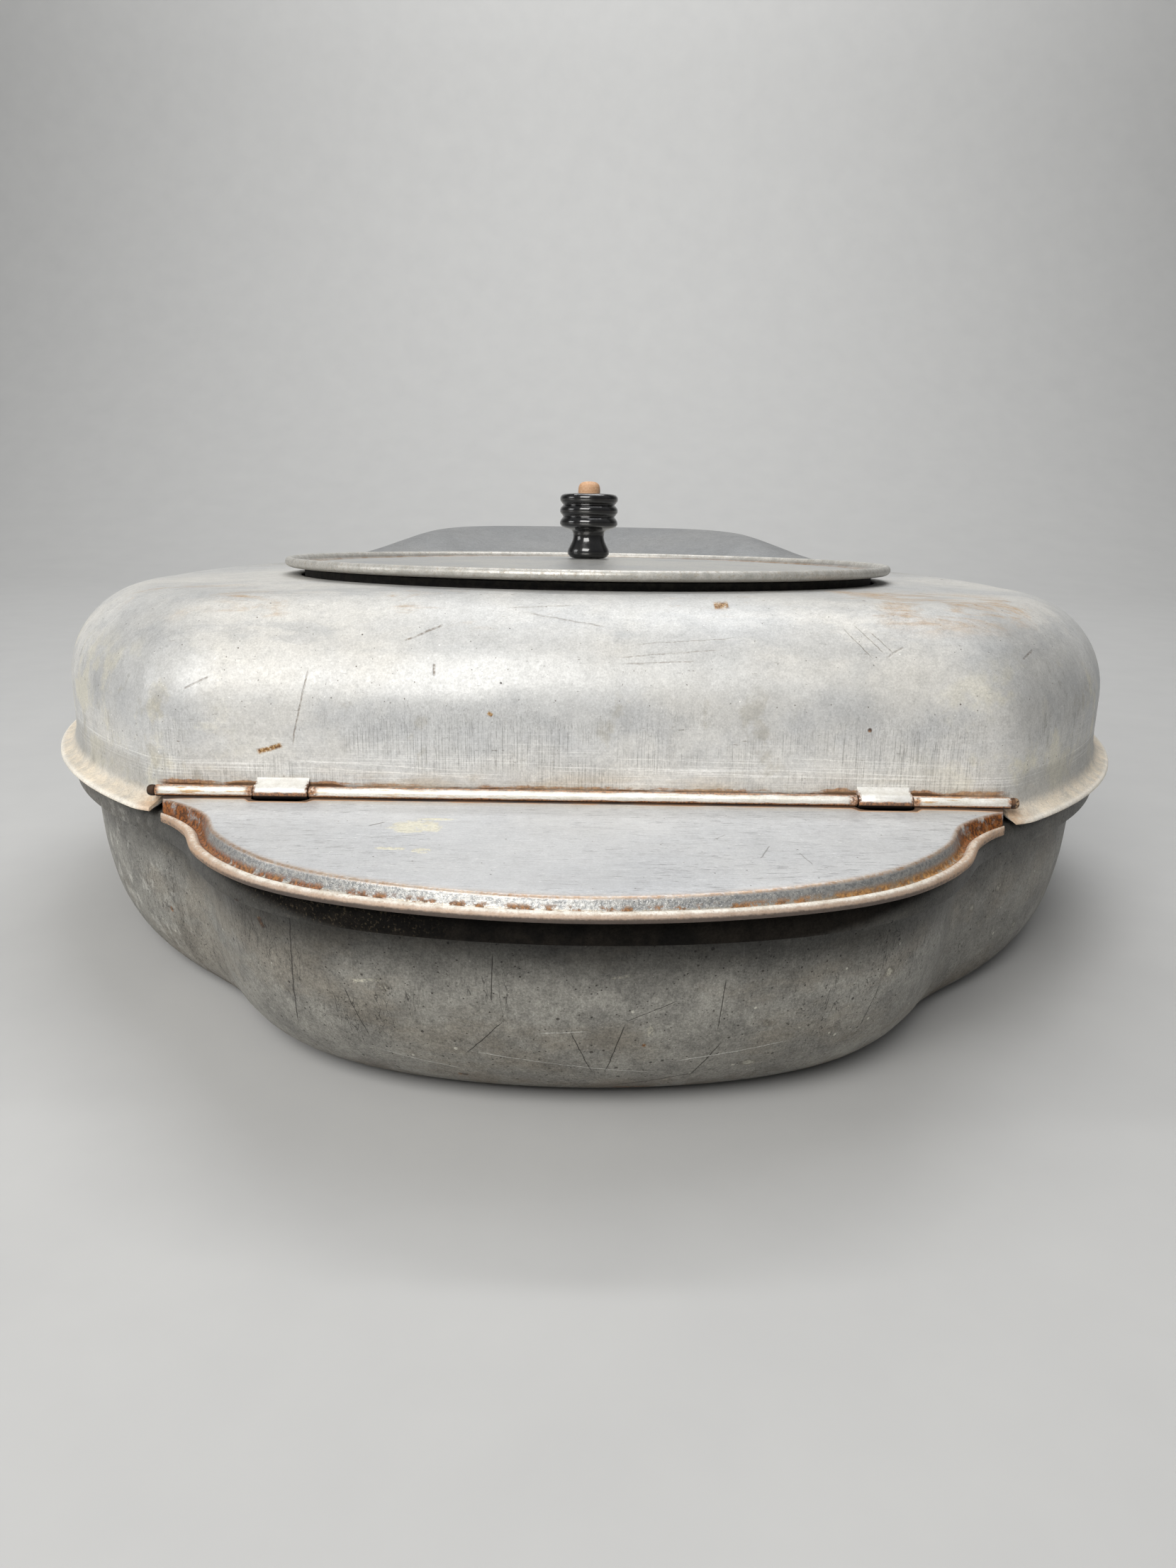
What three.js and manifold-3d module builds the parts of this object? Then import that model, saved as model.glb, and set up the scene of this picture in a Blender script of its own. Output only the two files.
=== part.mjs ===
// Lobed sheet-metal water bath: bowl-shaped tub, half-moon front plate hinged to a
// deep rear cover, and a round lid with a turned knob over the cover's opening.
// Millimetres, +Z up, X to the right, -Y towards the front lobe. The tub stands on
// z = 0, centred on the Z axis.
import * as THREE from "three";
import { mergeVertices } from "three/addons/utils/BufferGeometryUtils.js";
import Module from "manifold-3d";

// ------------------------------------------------------- shared dimensions
// Plan angles (phi) are in degrees from +X, counter-clockwise seen from above.
const LOBE = 36.5; // how far the plate's and the cover's lobes stand out from the main circle

const HINGE_Y = -184;
const HINGE_Z = 82.5;
const HINGE_BORE = 1.35; // inner radius of every hinge tube
const KNUCKLE_IN = 92; // the cover's two short knuckles, from the centre line
const KNUCKLE_OUT = 110;

const TOP_Z = 140.8; // cover top plane at the centre line of the opening
const TILT = 0.0393; // top plane falls this much per mm towards the rear
const LID_Z = 146.4; // centre height of the lid's bead
const LID_SEGMENTS = 48;
const SHELF_Z = 21; // underside of the perforated false bottom

// -------------------------------------------------------------- plan shapes
const RAD = Math.PI / 180;

// Value at x in a table of [x, value] rows, straight between the rows.
function along(table, x) {
  for (let i = 1; i < table.length; i++) {
    const [x0, value0] = table[i - 1];
    const [x1, value1] = table[i];
    if (x <= x1) return value0 + ((value1 - value0) * (x - x0)) / (x1 - x0);
  }
  return table[table.length - 1][1];
}

// Lobes of the plate and the cover: [angle from the lobe's centre line, share of full depth].
const LOBE_TABLE = [
  [0, 1], [6, 0.985], [12, 0.95], [16, 0.91], [19.6, 0.835], [23.3, 0.69],
  [27.6, 0.45], [31.5, 0.15], [34.8, 0.03], [38, 0], [180, 0],
];
// The same columns for the tub, whose lobes are a little squarer and wider.
const TUB_LOBE_TABLE = [
  [0, 1], [6, 0.995], [12, 0.975], [16, 0.93], [19.6, 0.84], [23.3, 0.67],
  [27.6, 0.39], [31.5, 0.13], [34.8, 0.03], [38, 0], [180, 0],
];
const TUB_LOBE_WIDTH = 1.06; // angular stretch of the tub's lobes

// Angle away from the front centre line (-Y), 0 to 180.
const fromFront = (phi) => Math.abs(((phi + 90 + 540) % 360) - 180);
const fromRear = (phi) => 180 - fromFront(phi);
const tubLobes = (phi) =>
  along(TUB_LOBE_TABLE, fromFront(phi) / TUB_LOBE_WIDTH) +
  along(TUB_LOBE_TABLE, fromRear(phi) / TUB_LOBE_WIDTH);

// Plan angles all the way round, from angles off the front centre line, 0 to 180.
function mirrorAngles(half) {
  const back = [...half].reverse().filter((angle) => angle !== 0 && angle !== 180);
  return [...half.map((angle) => angle - 90), ...back.map((angle) => 270 - angle)];
}
const evenly = (count, start = 0) =>
  Array.from({ length: count }, (_, i) => (i * 360) / count + start);

// ---------------------------------------------------------- mesh building
// Geometry of a closed surface, turned so that its faces look outward.
function closedGeometry(verts, tris) {
  const points = verts.map((point) => new THREE.Vector3(...point));
  const cross = new THREE.Vector3();
  let volume = 0;
  for (const [i, j, k] of tris) {
    volume += points[i].dot(cross.crossVectors(points[j], points[k]));
  }
  const outward = volume < 0 ? tris.map(([i, j, k]) => [i, k, j]) : tris;
  const geometry = new THREE.BufferGeometry();
  geometry.setAttribute("position", new THREE.BufferAttribute(new Float32Array(verts.flat()), 3));
  geometry.setIndex(outward.flat());
  return geometry;
}

// Surface swept round the vertical axis. Each station gives [radius, z] for a plan
// angle; a station that is a plain z number is a single point on the axis.
function swept(stations, phis) {
  const verts = [];
  const rows = stations.map((station) => {
    const first = verts.length;
    if (typeof station === "number") {
      verts.push([0, 0, station]);
      return [first];
    }
    return phis.map((phi, i) => {
      const [radius, z] = station(phi);
      verts.push([radius * Math.cos(phi * RAD), radius * Math.sin(phi * RAD), z]);
      return first + i;
    });
  });
  const tris = [];
  const closed = rows[0].length > 1;
  for (let j = 0; j < rows.length - (closed ? 0 : 1); j++) {
    const row = rows[j];
    const next = rows[(j + 1) % rows.length];
    for (let i = 0; i < phis.length; i++) {
      const k = (i + 1) % phis.length;
      if (row.length === 1) tris.push([row[0], next[i], next[k]]);
      else if (next.length === 1) tris.push([row[i], next[0], row[k]]);
      else tris.push([row[i], next[i], next[k]], [row[i], next[k], row[k]]);
    }
  }
  return closedGeometry(verts, tris);
}

const ring = ([radius, z]) => () => [radius, z];
// A closed section [[radius, z], ...] turned round the Z axis.
const turned = (section, segments) => swept(section.map(ring), evenly(segments));
// A profile of the same form, closed by a flat end down to the axis at each end.
const solidTurned = (profile, segments) =>
  swept([profile[0][1], ...profile.map(ring), profile.at(-1)[1]], evenly(segments));

// Six-sided [radius, z] section of a wire bent round the Z axis.
const wireSection = (bendRadius, z, wireRadius) => evenly(6, 30).map((angle) => [
  bendRadius + wireRadius * Math.cos(angle * RAD),
  z + wireRadius * Math.sin(angle * RAD),
]);

// Skin over rows of points, one closed section per row. capTris gives the triangles
// that close the first row; those of the last row are turned over.
function lofted(rows, capTris) {
  const size = rows[0].length;
  const tris = [];
  for (let i = 0; i + 1 < rows.length; i++) {
    const row = i * size;
    const next = row + size;
    for (let j = 0; j < size; j++) {
      const k = (j + 1) % size;
      tris.push([row + j, next + j, next + k], [row + j, next + k, row + k]);
    }
  }
  const last = (rows.length - 1) * size;
  for (const [i, j, k] of capTris(rows[0])) tris.push([i, j, k]);
  for (const [i, j, k] of capTris(rows.at(-1))) tris.push([last + i, last + k, last + j]);
  return closedGeometry(rows.flat(), tris);
}

// --------------------------------------------------------- solid modelling
const wasm = await Module();
wasm.setup();

function toSolid(geometry) {
  const bare = geometry.clone();
  bare.deleteAttribute("normal");
  bare.deleteAttribute("uv");
  const merged = mergeVertices(bare, 1e-4);
  return new wasm.Manifold(new wasm.Mesh({
    numProp: 3,
    vertProperties: merged.attributes.position.array,
    triVerts: new Uint32Array(merged.index.array),
  }));
}

function toGeometry(solid) {
  const mesh = solid.getMesh();
  const stride = mesh.numProp;
  const positions = new Float32Array(mesh.numVert * 3);
  for (let i = 0; i < mesh.numVert; i++) {
    positions.set(mesh.vertProperties.subarray(i * stride, i * stride + 3), i * 3);
  }
  const geometry = new THREE.BufferGeometry();
  geometry.setAttribute("position", new THREE.BufferAttribute(positions, 3));
  geometry.setIndex(Array.from(mesh.triVerts));
  return geometry;
}

// Box between two values on each axis.
function box([x0, x1], [y0, y1], [z0, z1]) {
  const geometry = new THREE.BoxGeometry(x1 - x0, y1 - y0, z1 - z0);
  geometry.translate((x0 + x1) / 2, (y0 + y1) / 2, (z0 + z1) / 2);
  return toSolid(geometry);
}

// Straight bar along X with the given [y, z] outline.
function prismX([x0, x1], outline) {
  const shape = new THREE.Shape(outline.map(([y, z]) => new THREE.Vector2(y, z)));
  const geometry = new THREE.ExtrudeGeometry(shape, { depth: x1 - x0, bevelEnabled: false });
  geometry.applyMatrix4(new THREE.Matrix4().set(
    0, 0, 1, x0,
    1, 0, 0, 0,
    0, 1, 0, 0,
    0, 0, 0, 1,
  ));
  return toSolid(geometry);
}

// Lays a turned piece down along X on the hinge axis.
const onHinge = (geometry) => geometry.rotateY(Math.PI / 2).translate(0, HINGE_Y, HINGE_Z);

function hingeTube([x0, x1], radius) {
  const section = [[HINGE_BORE, x0], [radius, x0], [radius, x1], [HINGE_BORE, x1]];
  return toSolid(onHinge(turned(section, 14)));
}

// X span between two distances from the centre line, on side -1 or 1.
const spanOnSide = (side, near, far) => (side > 0 ? [near, far] : [-far, -near]);

// ------------------------------------------------------ group and materials
const part = new THREE.Group();
part.name = "water_bath";

const LOOKS = {
  tub: { color: 0x77776f, roughness: 0.5, metalness: 0.9 }, // dull grey sheet
  shell: { color: 0xaaa89f, roughness: 0.4, metalness: 0.9 }, // brighter sheet
  trim: { color: 0xb9ae98, roughness: 0.45, metalness: 0.85 }, // warm pale metal
  iron: { color: 0x4a3a2c, roughness: 0.75, metalness: 0.6 }, // dark brown wire and bolts
  knob: { color: 0x0d0d0e, roughness: 0.18, metalness: 0.0 }, // glossy black
  wood: { color: 0xa5713f, roughness: 0.6, metalness: 0.0 },
  inner: { color: 0x8e8e88, roughness: 0.45, metalness: 0.9 }, // mid-grey metal
};

function add(name, geometry, look, parent = part) {
  const mesh = new THREE.Mesh(geometry, new THREE.MeshStandardMaterial(LOOKS[look]));
  mesh.name = name;
  parent.add(mesh);
}

// ---------------------------------------------------------------------- tub
// Thin bowl: flat floor, sides that curve up into an upright wall, and an
// outward-turned, wired rim. Both lobes fade slightly towards the floor.
const TUB_SHEET = 1.2;
const TUB_LOBE = 35; // lobe depth at the rim
const LOBE_ANGLES = LOBE_TABLE.slice(0, -1).map(([angle]) => angle);
const TUB_PHIS = mirrorAngles([
  ...LOBE_ANGLES,
  45, 54, 63, 72, 81, 90, 99, 108, 117, 126, 135,
  ...[...LOBE_ANGLES].reverse().map((angle) => 180 - angle),
]);
// [radius away from the lobes, lobe depth, z]
const TUB_SECTION = [
  // outside, from the floor up and over the rim
  [198, 19, 0], [206, 23, 1.4], [212.5, 25, 5.2], [217, 27.5, 11.5],
  [221.2, 30.5, 22], [224, 33, 38], [225, 34.5, 55],
  [225.2, TUB_LOBE, 67], [226.1, TUB_LOBE, 71], [228, TUB_LOBE, 72.9], [230, TUB_LOBE, 73.1],
  [231.2, TUB_LOBE, 71.8], [231.4, TUB_LOBE, 65.6],
  // back over the rim and down the inside
  [232.4, TUB_LOBE, 65.6], [232.5, TUB_LOBE, 71.5], [231.8, TUB_LOBE, 73.4],
  [230, TUB_LOBE, 74.4], [227.4, TUB_LOBE, 74.2], [225, TUB_LOBE, 72.4], [224, TUB_LOBE, 68],
  [225 - TUB_SHEET, 34.5, 55], [224 - TUB_SHEET, 33, 38], [221.2 - TUB_SHEET, 30.5, 22.2],
  [216.3 - TUB_SHEET, 27.5, 12.4], [211.8 - TUB_SHEET, 25, 6.4], [205.7 - TUB_SHEET, 23, 2.7],
  [198, 19, TUB_SHEET],
];
const RIM_WIRE = { bendRadius: 228.3, z: 70.1, radius: 1.75 };

const tubStation = ([radius, depth, z]) => (phi) => [radius + depth * tubLobes(phi), z];
add("tub", swept([0, ...TUB_SECTION.map(tubStation), TUB_SHEET], TUB_PHIS), "tub");

const rimWire = wireSection(RIM_WIRE.bendRadius, RIM_WIRE.z, RIM_WIRE.radius)
  .map(([radius, z]) => tubStation([radius, TUB_LOBE, z]));
add("tub_rim_wire", swept(rimWire, TUB_PHIS), "iron");

// -------------------------------------------------------------- front plate
// Half-moon sheet: flat panel, pressed step down to a groove, rolled outer lip.
const PLATE_R = 237; // outer edge away from the lobe
const PLATE_BACK_Y = -160; // the sheet is drawn this far back, then cut at the hinge line
const PLATE_HALF_WIDTH = 138.5;
const PLATE_TUBE_R = 2;
const PLATE_TUBE_END = 143;
const KNUCKLE_GAP = 0.35; // between neighbouring hinge tubes
const SLOT_GAP = 0.8; // beside each cover knuckle
const PANEL_RISE = 1.2; // the panel is lowest at the centre line and this much higher at the sides
const PANEL_RISE_ANGLE = 23; // full rise from this angle on
// [inwards from the outline, z, share of the panel's rise]; a null lies at PLATE_BACK_Y
const PLATE_SECTION = [
  // top, from the lip inwards
  [0.4, 74.2], [0, 75.2], [0.5, 76.3], [1.7, 76.9], [2.8, 76.5], [3.4, 75.9],
  [4.3, 75.5], [5, 76], [6.5, 78.3, 0.8], [7.2, 79, 1], [null, 81.6],
  // underside, back out to the lip
  [null, 80.7], [7.7, 78.1, 1], [7.2, 77.6, 0.8], [5.8, 75.3], [4.3, 74.6], [3, 75],
  [2.4, 75.7], [1.7, 76], [1.1, 75.6], [0.9, 75], [1.2, 74.2],
];
const PLATE_HALF = [0, 6, 12, 16, 19.6, 23.3, 27.6, 31.5, 34.8, 37.6, 40];
const PLATE_PHIS = [
  ...PLATE_HALF.slice(1).reverse().map((angle) => -90 - angle),
  ...PLATE_HALF.map((angle) => -90 + angle),
];

function plateOutline(phi) {
  const radius = PLATE_R + LOBE * along(LOBE_TABLE, fromFront(phi));
  return [radius * Math.cos(phi * RAD), radius * Math.sin(phi * RAD)];
}

function plateRow(phi) {
  const offFront = fromFront(phi);
  const rise = PANEL_RISE * Math.min(1, offFront / PANEL_RISE_ANGLE);
  const backR = -PLATE_BACK_Y / Math.cos(offFront * RAD);
  const [x, y] = plateOutline(phi);
  // inward normal, square to the chord between two nearby outline points
  const [beforeX, beforeY] = plateOutline(phi - 1.2);
  const [afterX, afterY] = plateOutline(phi + 1.2);
  const chord = Math.hypot(afterX - beforeX, afterY - beforeY);
  const normalX = -(afterY - beforeY) / chord;
  const normalY = (afterX - beforeX) / chord;
  return PLATE_SECTION.map(([inward, z, share = 0]) => (inward === null
    ? [backR * Math.cos(phi * RAD), backR * Math.sin(phi * RAD), z]
    : [x + normalX * inward, y + normalY * inward, z + share * rise]));
}

function plateCap(row) {
  const flat = row.map(([x, y, z]) => new THREE.Vector2(Math.hypot(x, y), z));
  return THREE.ShapeUtils.triangulateShape(flat, []);
}

function frontPlate() {
  const cutY = [-260, 0];
  const cutZ = [60, 100];
  let plate = toSolid(lofted(PLATE_PHIS.map(plateRow), plateCap))
    .subtract(box([-300, 300], [HINGE_Y, 0], cutZ)) // hinge line
    .subtract(box([PLATE_HALF_WIDTH, 300], cutY, cutZ))
    .subtract(box([-300, -PLATE_HALF_WIDTH], cutY, cutZ));
  for (const side of [-1, 1]) { // slots under the cover's knuckles
    const slot = spanOnSide(side, KNUCKLE_IN - SLOT_GAP, KNUCKLE_OUT + SLOT_GAP);
    plate = plate.subtract(box(slot, [-189.2, -170], cutZ));
  }
  const tubes = [
    [-PLATE_TUBE_END, -KNUCKLE_OUT - KNUCKLE_GAP],
    [-KNUCKLE_IN + KNUCKLE_GAP, KNUCKLE_IN - KNUCKLE_GAP],
    [KNUCKLE_OUT + KNUCKLE_GAP, PLATE_TUBE_END],
  ];
  for (const span of tubes) plate = plate.add(hingeTube(span, PLATE_TUBE_R));
  return toGeometry(plate);
}
add("front_plate", frontPlate(), "shell");

// ---------------------------------------------------------------- hinge pin
// Rod whose ends are hammered out into heads that keep it in its tubes.
const PIN_R = 0.95;
const PIN_END = 146;
const PIN_HEAD_R = 1.9;
const PIN_HEAD_X = PIN_END - 2.8; // inner face of each head
const PIN_CHAMFER_X = PIN_END - 0.7;
const PIN_END_R = PIN_HEAD_R * 0.7; // end face inside the chamfer

const pinHalf = [
  [PIN_R, PIN_HEAD_X], [PIN_HEAD_R, PIN_HEAD_X], [PIN_HEAD_R, PIN_CHAMFER_X], [PIN_END_R, PIN_END],
];
const pinOtherHalf = [...pinHalf].reverse().map(([radius, x]) => [radius, -x]);
add("hinge_pin", onHinge(solidTurned([...pinOtherHalf, ...pinHalf], 10)), "iron");

// --------------------------------------------------------------- rear cover
const COVER_SHEET = 1;
const WALL_R = 230.5; // main circle of the wall
const FLAT_Y = 181; // flat front wall, in front of the centre
const OPEN_R = 134.2; // round opening in the top
const KNUCKLE_R = 2.6;
const FLANGE_FROM = 38.2; // the foot is flanged beyond this angle from the front
const HUMP = 19.5; // how far the top of the rear lobe stands up
// Radius between the wall and the top: [angle from the front, radius].
const ROLL_TABLE = [[0, 43], [34, 43], [60, 38], [125, 37], [150, 40], [180, 43]];
// [angle from the rear centre line, share of the hump]
const HUMP_TABLE = [
  [0, 1], [14, 1], [21, 0.97], [26, 0.9], [31, 0.77], [36, 0.55],
  [41, 0.3], [46, 0.12], [52, 0], [180, 0],
];
const ROLL_STEPS = [0, 20, 40, 60, 77, 90]; // degrees, from the wall to the top
const COVER_PHIS = mirrorAngles([
  0, 12, 24, 31, 35, 37.9, 38.5, 41, 46, 54, 63, 72, 81, 90, 99, 108, 118, 127, 134, 139,
  144, 149, 152.4, 156.7, 160.4, 164, 168, 174, 180,
]);
// [y, z] outline of the strap that joins each knuckle to the front wall
const STRAP = [
  [-180.4, 87], [-181.1, 86.7], [-182.2, 85.7], [-184, 85.05], [-184, 84.4],
  [-182.5, 84], [-181.8, 82.6], [-182, 81.4], [-180.4, 81],
];

// Plan radius of the wall, moved inwards: the main circle with the rear lobe,
// cut off by the flat front and blended where the two meet.
function coverOutline(phi, inset) {
  const offFront = fromFront(phi);
  const round = WALL_R + LOBE * along(LOBE_TABLE, fromRear(phi)) - inset;
  if (offFront > 75) return round;
  const flat = (FLAT_Y - inset) / Math.cos(offFront * RAD);
  const blend = 7 + 0.3 * inset; // softens the corner more as the outline shrinks
  const share = Math.min(1, Math.max(0, 0.5 + (0.5 * (flat - round)) / blend));
  return flat * (1 - share) + round * share - blend * share * (1 - share);
}

const rollRadius = (phi) => along(ROLL_TABLE, fromFront(phi));

// Height where the roll meets the top. The top drops off outwards, less so
// towards the rear, and rises over the rear lobe.
function crestZ(phi) {
  const radius = coverOutline(phi, rollRadius(phi));
  const y = radius * Math.sin(phi * RAD);
  const plane = TOP_Z - TILT * y;
  const crown = -0.045 * (radius - 137) + 0.033 * Math.max(0, y);
  return plane + crown + HUMP * along(HUMP_TABLE, fromRear(phi));
}

// [outward, z] on the flange; [inset, z] at the bare foot of the flat front
const foot = (outward, z, inset, bareZ) => (phi) => (fromFront(phi) > FLANGE_FROM
  ? [coverOutline(phi, 0) + outward, z]
  : [coverOutline(phi, inset), bareZ]);
// "under" is the depth below the outer face of the sheet
const roll = (under, angle) => (phi) => {
  const outer = rollRadius(phi);
  const radius = outer - under;
  return [
    coverOutline(phi, outer - radius * Math.cos(angle * RAD)),
    crestZ(phi) - outer + radius * Math.sin(angle * RAD),
  ];
};
const openEdge = (radius, under) => (phi) =>
  [radius, TOP_Z - TILT * radius * Math.sin(phi * RAD) - under];

const COVER_STATIONS = [
  // outside, from the foot up to the opening
  foot(6.8, 75.3, 0.4, 79.7), foot(7, 76.3, 0, 80), foot(5.8, 77, 0, 80.3),
  foot(3, 77.9, 0, 80.8), foot(1, 79.6, 0, 81.4), foot(0, 82.5, 0, 82.5),
  ...ROLL_STEPS.map((angle) => roll(0, angle)),
  openEdge(OPEN_R + 1.4, 0), openEdge(OPEN_R, 0),
  // inside, back down to the foot
  openEdge(OPEN_R, COVER_SHEET), openEdge(OPEN_R + 1.4, COVER_SHEET),
  ...[...ROLL_STEPS].reverse().map((angle) => roll(COVER_SHEET, angle)),
  foot(-COVER_SHEET, 82.5, COVER_SHEET, 82.5), foot(-0.2, 79.2, COVER_SHEET, 81.2),
  foot(2.4, 77, COVER_SHEET, 80.2), foot(5.4, 76, 0.8, 79.7),
];

function rearCover() {
  let cover = toSolid(swept(COVER_STATIONS, COVER_PHIS))
    .subtract(box([-139.6, 139.6], [-200, -181.7], [60, 81.5])) // room for the plate's ends
    .subtract(box([-300, 300], [-260, -188], [60, 79])); // low metal in front of the hinge
  for (const side of [-1, 1]) {
    const span = spanOnSide(side, KNUCKLE_IN, KNUCKLE_OUT);
    cover = cover.add(hingeTube(span, KNUCKLE_R)).add(prismX(span, STRAP));
  }
  return toGeometry(cover);
}
add("rear_cover", rearCover(), "shell");

// ----------------------------------------------------------- lid and collar
// The lid, its collar and its knob share a frame tilted like the cover's top.
const lidFrame = new THREE.Group();
lidFrame.position.set(0, 0, LID_Z);
lidFrame.rotation.x = -Math.atan(TILT);
part.add(lidFrame);

// Upright ring in the opening, with a flange under the cover's sheet: [radius, z].
const COVER_TOP = TOP_Z - LID_Z; // the cover's top, seen from the lid's frame
const COLLAR_SECTION = [
  [131, -2.65], [132.6, -2.65], [132.6, COVER_TOP - 1.5], [138, COVER_TOP - 1.5],
  [138, COVER_TOP - 2.4], [131, COVER_TOP - 2.4],
];
add("lid_collar", turned(COLLAR_SECTION, LID_SEGMENTS), "trim", lidFrame);

// Shallow dome with a rolled bead round a wire: [radius, z].
const LID_SECTION = [
  // top of the dome, outwards
  [2.5, 2.3], [30, 2.15], [60, 1.6], [95, 0.6], [119, -0.35], [128.5, -0.85], [131.8, -1.25],
  [134.6, -1.45], [136.6, -0.5],
  // round the bead, outside then inside
  [137.4, 1.3], [138.9, 2.1], [140.4, 1.4], [141, 0], [140.4, -1.4], [138.9, -2.1], [137.4, -1.6],
  [137.9, -0.9], [139, -1.25], [140.2, 0], [139, 1.25], [137.7, 0.1],
  // underside, back inwards
  [136.9, -1.4], [134.6, -2.3], [131.4, -2.1], [128.2, -1.75], [119, -1.25], [95, -0.3],
  [60, 0.7], [30, 1.25], [2.5, 1.4],
];
const LID_WIRE = { bendRadius: 138.95, z: 0, radius: 0.85 };
const lidWire = wireSection(LID_WIRE.bendRadius, LID_WIRE.z, LID_WIRE.radius);
add("lid", turned(LID_SECTION, LID_SEGMENTS), "shell", lidFrame);
add("lid_rim_wire", turned(lidWire, LID_SEGMENTS), "iron", lidFrame);

// ------------------------------------------------------------ knob and bolt
// All are [radius, z] above the lid's mid-plane; the lid's middle stands at 2.3.
const KNOB_R = 13.8;
const KNOB_TOP = 32.4;
const KNOB_BORE = 2.4;
const RECESS_R = 5.6; // recess that takes the bolt head and the plug
const RECESS_Z = 24.4; // its floor
const KNOB_SECTION = [
  [KNOB_BORE, 2.5], [7.4, 2.5], [9.6, 3.9], [10, 5.3], [9.6, 7], [7.7, 10.6], [7.4, 12.4],
  [7.6, 14.6], [10.6, 16.2], [12.9, 17.2], [KNOB_R, 18.9], [12.3, 21.5], [12.3, 22.2],
  [KNOB_R, 24.8], [12.3, 27], [12.3, 27.6], [KNOB_R, 30.2], [13, 31.7], [11, KNOB_TOP],
  [RECESS_R, KNOB_TOP - 0.3], [RECESS_R, RECESS_Z], [KNOB_BORE, RECESS_Z],
];
const PLUG_PROFILE = [[5.2, 28.4], [5.2, 34.6], [4.9, 36.2], [4, 37.5], [2.3, 38.1]];
const BOLT_PROFILE = [
  [1.6, -5.8], [2, -5.3], [2, RECESS_Z + 0.3], [4.4, RECESS_Z + 0.3], [4.4, RECESS_Z + 2.8],
  [3.8, RECESS_Z + 3.5],
];
const WASHER_SECTION = [[2.5, 0.1], [6.5, 0.1], [6.5, 1.1], [2.5, 1.1]];
const NUT_SECTION = [[2.35, -3.4], [4.1, -3.4], [4.1, -0.2], [2.35, -0.2]];
add("knob", turned(KNOB_SECTION, 28), "knob", lidFrame);
add("knob_plug", solidTurned(PLUG_PROFILE, 20), "wood", lidFrame);
add("knob_bolt", solidTurned(BOLT_PROFILE, 12), "iron", lidFrame);
add("knob_washer", turned(WASHER_SECTION, 18), "inner", lidFrame);
add("knob_nut", turned(NUT_SECTION, 6), "inner", lidFrame);

// ------------------------------------------------- perforated false bottom
const SHELF_R = 128;
const SHELF_SHEET = 1.2;
const HOLE_R = 7;
// [number of holes, radius of their circle, angle of the first in radians]
const HOLE_RINGS = [[6, 36, 0], [8, 68, 0.39], [12, 100, 0.13]];

function circle(radius, segments, x = 0, y = 0) {
  return Array.from({ length: segments }, (_, i) => {
    const angle = (2 * Math.PI * i) / segments;
    return new THREE.Vector2(x + radius * Math.cos(angle), y + radius * Math.sin(angle));
  });
}

function shelf() {
  const disc = new THREE.Shape(circle(SHELF_R, 44));
  disc.holes.push(new THREE.Path(circle(HOLE_R, 10)));
  for (const [count, radius, start] of HOLE_RINGS) {
    for (let i = 0; i < count; i++) {
      const angle = (2 * Math.PI * i) / count + start;
      const hole = circle(HOLE_R, 8, radius * Math.cos(angle), radius * Math.sin(angle));
      disc.holes.push(new THREE.Path(hole));
    }
  }
  const geometry = new THREE.ExtrudeGeometry(disc, { depth: SHELF_SHEET, bevelEnabled: false });
  return geometry.translate(0, 0, SHELF_Z);
}
add("shelf", shelf(), "inner");

// Legs with a wider collar at the top.
const LEG_OFFSET = 83; // from the centre, along X and along Y
const LEG_PROFILE = [
  [2.6, 1.5], [3, 2], [3, SHELF_Z - 1.5], [5, SHELF_Z - 1.2], [5, SHELF_Z - 0.3],
];
[[1, 1], [-1, 1], [-1, -1], [1, -1]].forEach(([sideX, sideY], i) => {
  const leg = solidTurned(LEG_PROFILE, 10).translate(sideX * LEG_OFFSET, sideY * LEG_OFFSET, 0);
  add(`shelf_leg_${i + 1}`, leg, "inner");
});

// Two upright wire loops to lift the false bottom by.
const LOOP_X = 112;
const LOOP_FOOT_Z = SHELF_Z + 1.5;
const LOOP_WIRE_R = 1.2;
// centre line of the wire: [y, height above its feet]
const LOOP_PATH = [
  [-16, 0], [-16, 13], [-12, 18.5], [-5, 21], [5, 21], [12, 18.5], [16, 13], [16, 0],
];

// Fan of triangles over a convex section.
const fanCap = (row) => Array.from({ length: row.length - 2 }, (_, i) => [0, i + 1, i + 2]);

function shelfLoop(side) {
  const wire = circle(LOOP_WIRE_R, 6);
  const rows = LOOP_PATH.map(([y, height], i) => {
    const [beforeY, beforeZ] = LOOP_PATH[Math.max(0, i - 1)];
    const [afterY, afterZ] = LOOP_PATH[Math.min(LOOP_PATH.length - 1, i + 1)];
    const length = Math.hypot(afterY - beforeY, afterZ - beforeZ);
    const normalY = -(afterZ - beforeZ) / length;
    const normalZ = (afterY - beforeY) / length;
    return wire.map((point) => [
      side * LOOP_X + point.y,
      y + point.x * normalY,
      LOOP_FOOT_Z + height + point.x * normalZ,
    ]);
  });
  return toGeometry(toSolid(lofted(rows, fanCap)));
}
[-1, 1].forEach((side, i) => add(`shelf_loop_${i + 1}`, shelfLoop(side), "iron"));

export default part;
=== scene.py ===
"""A low oval metal tub with a domed rear cover, a hinged front plate, a round lid with a
turned knob, and a loose perforated false bottom on four legs.

The tub stands on z = 0 around the z axis. -y is the front, +x is the right side. Shapes are
written in millimetres and made in metres. Plan angles (phi) run counterclockwise from +x.
"""
import math

import bmesh
import bpy
from mathutils import Matrix, Vector


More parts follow.
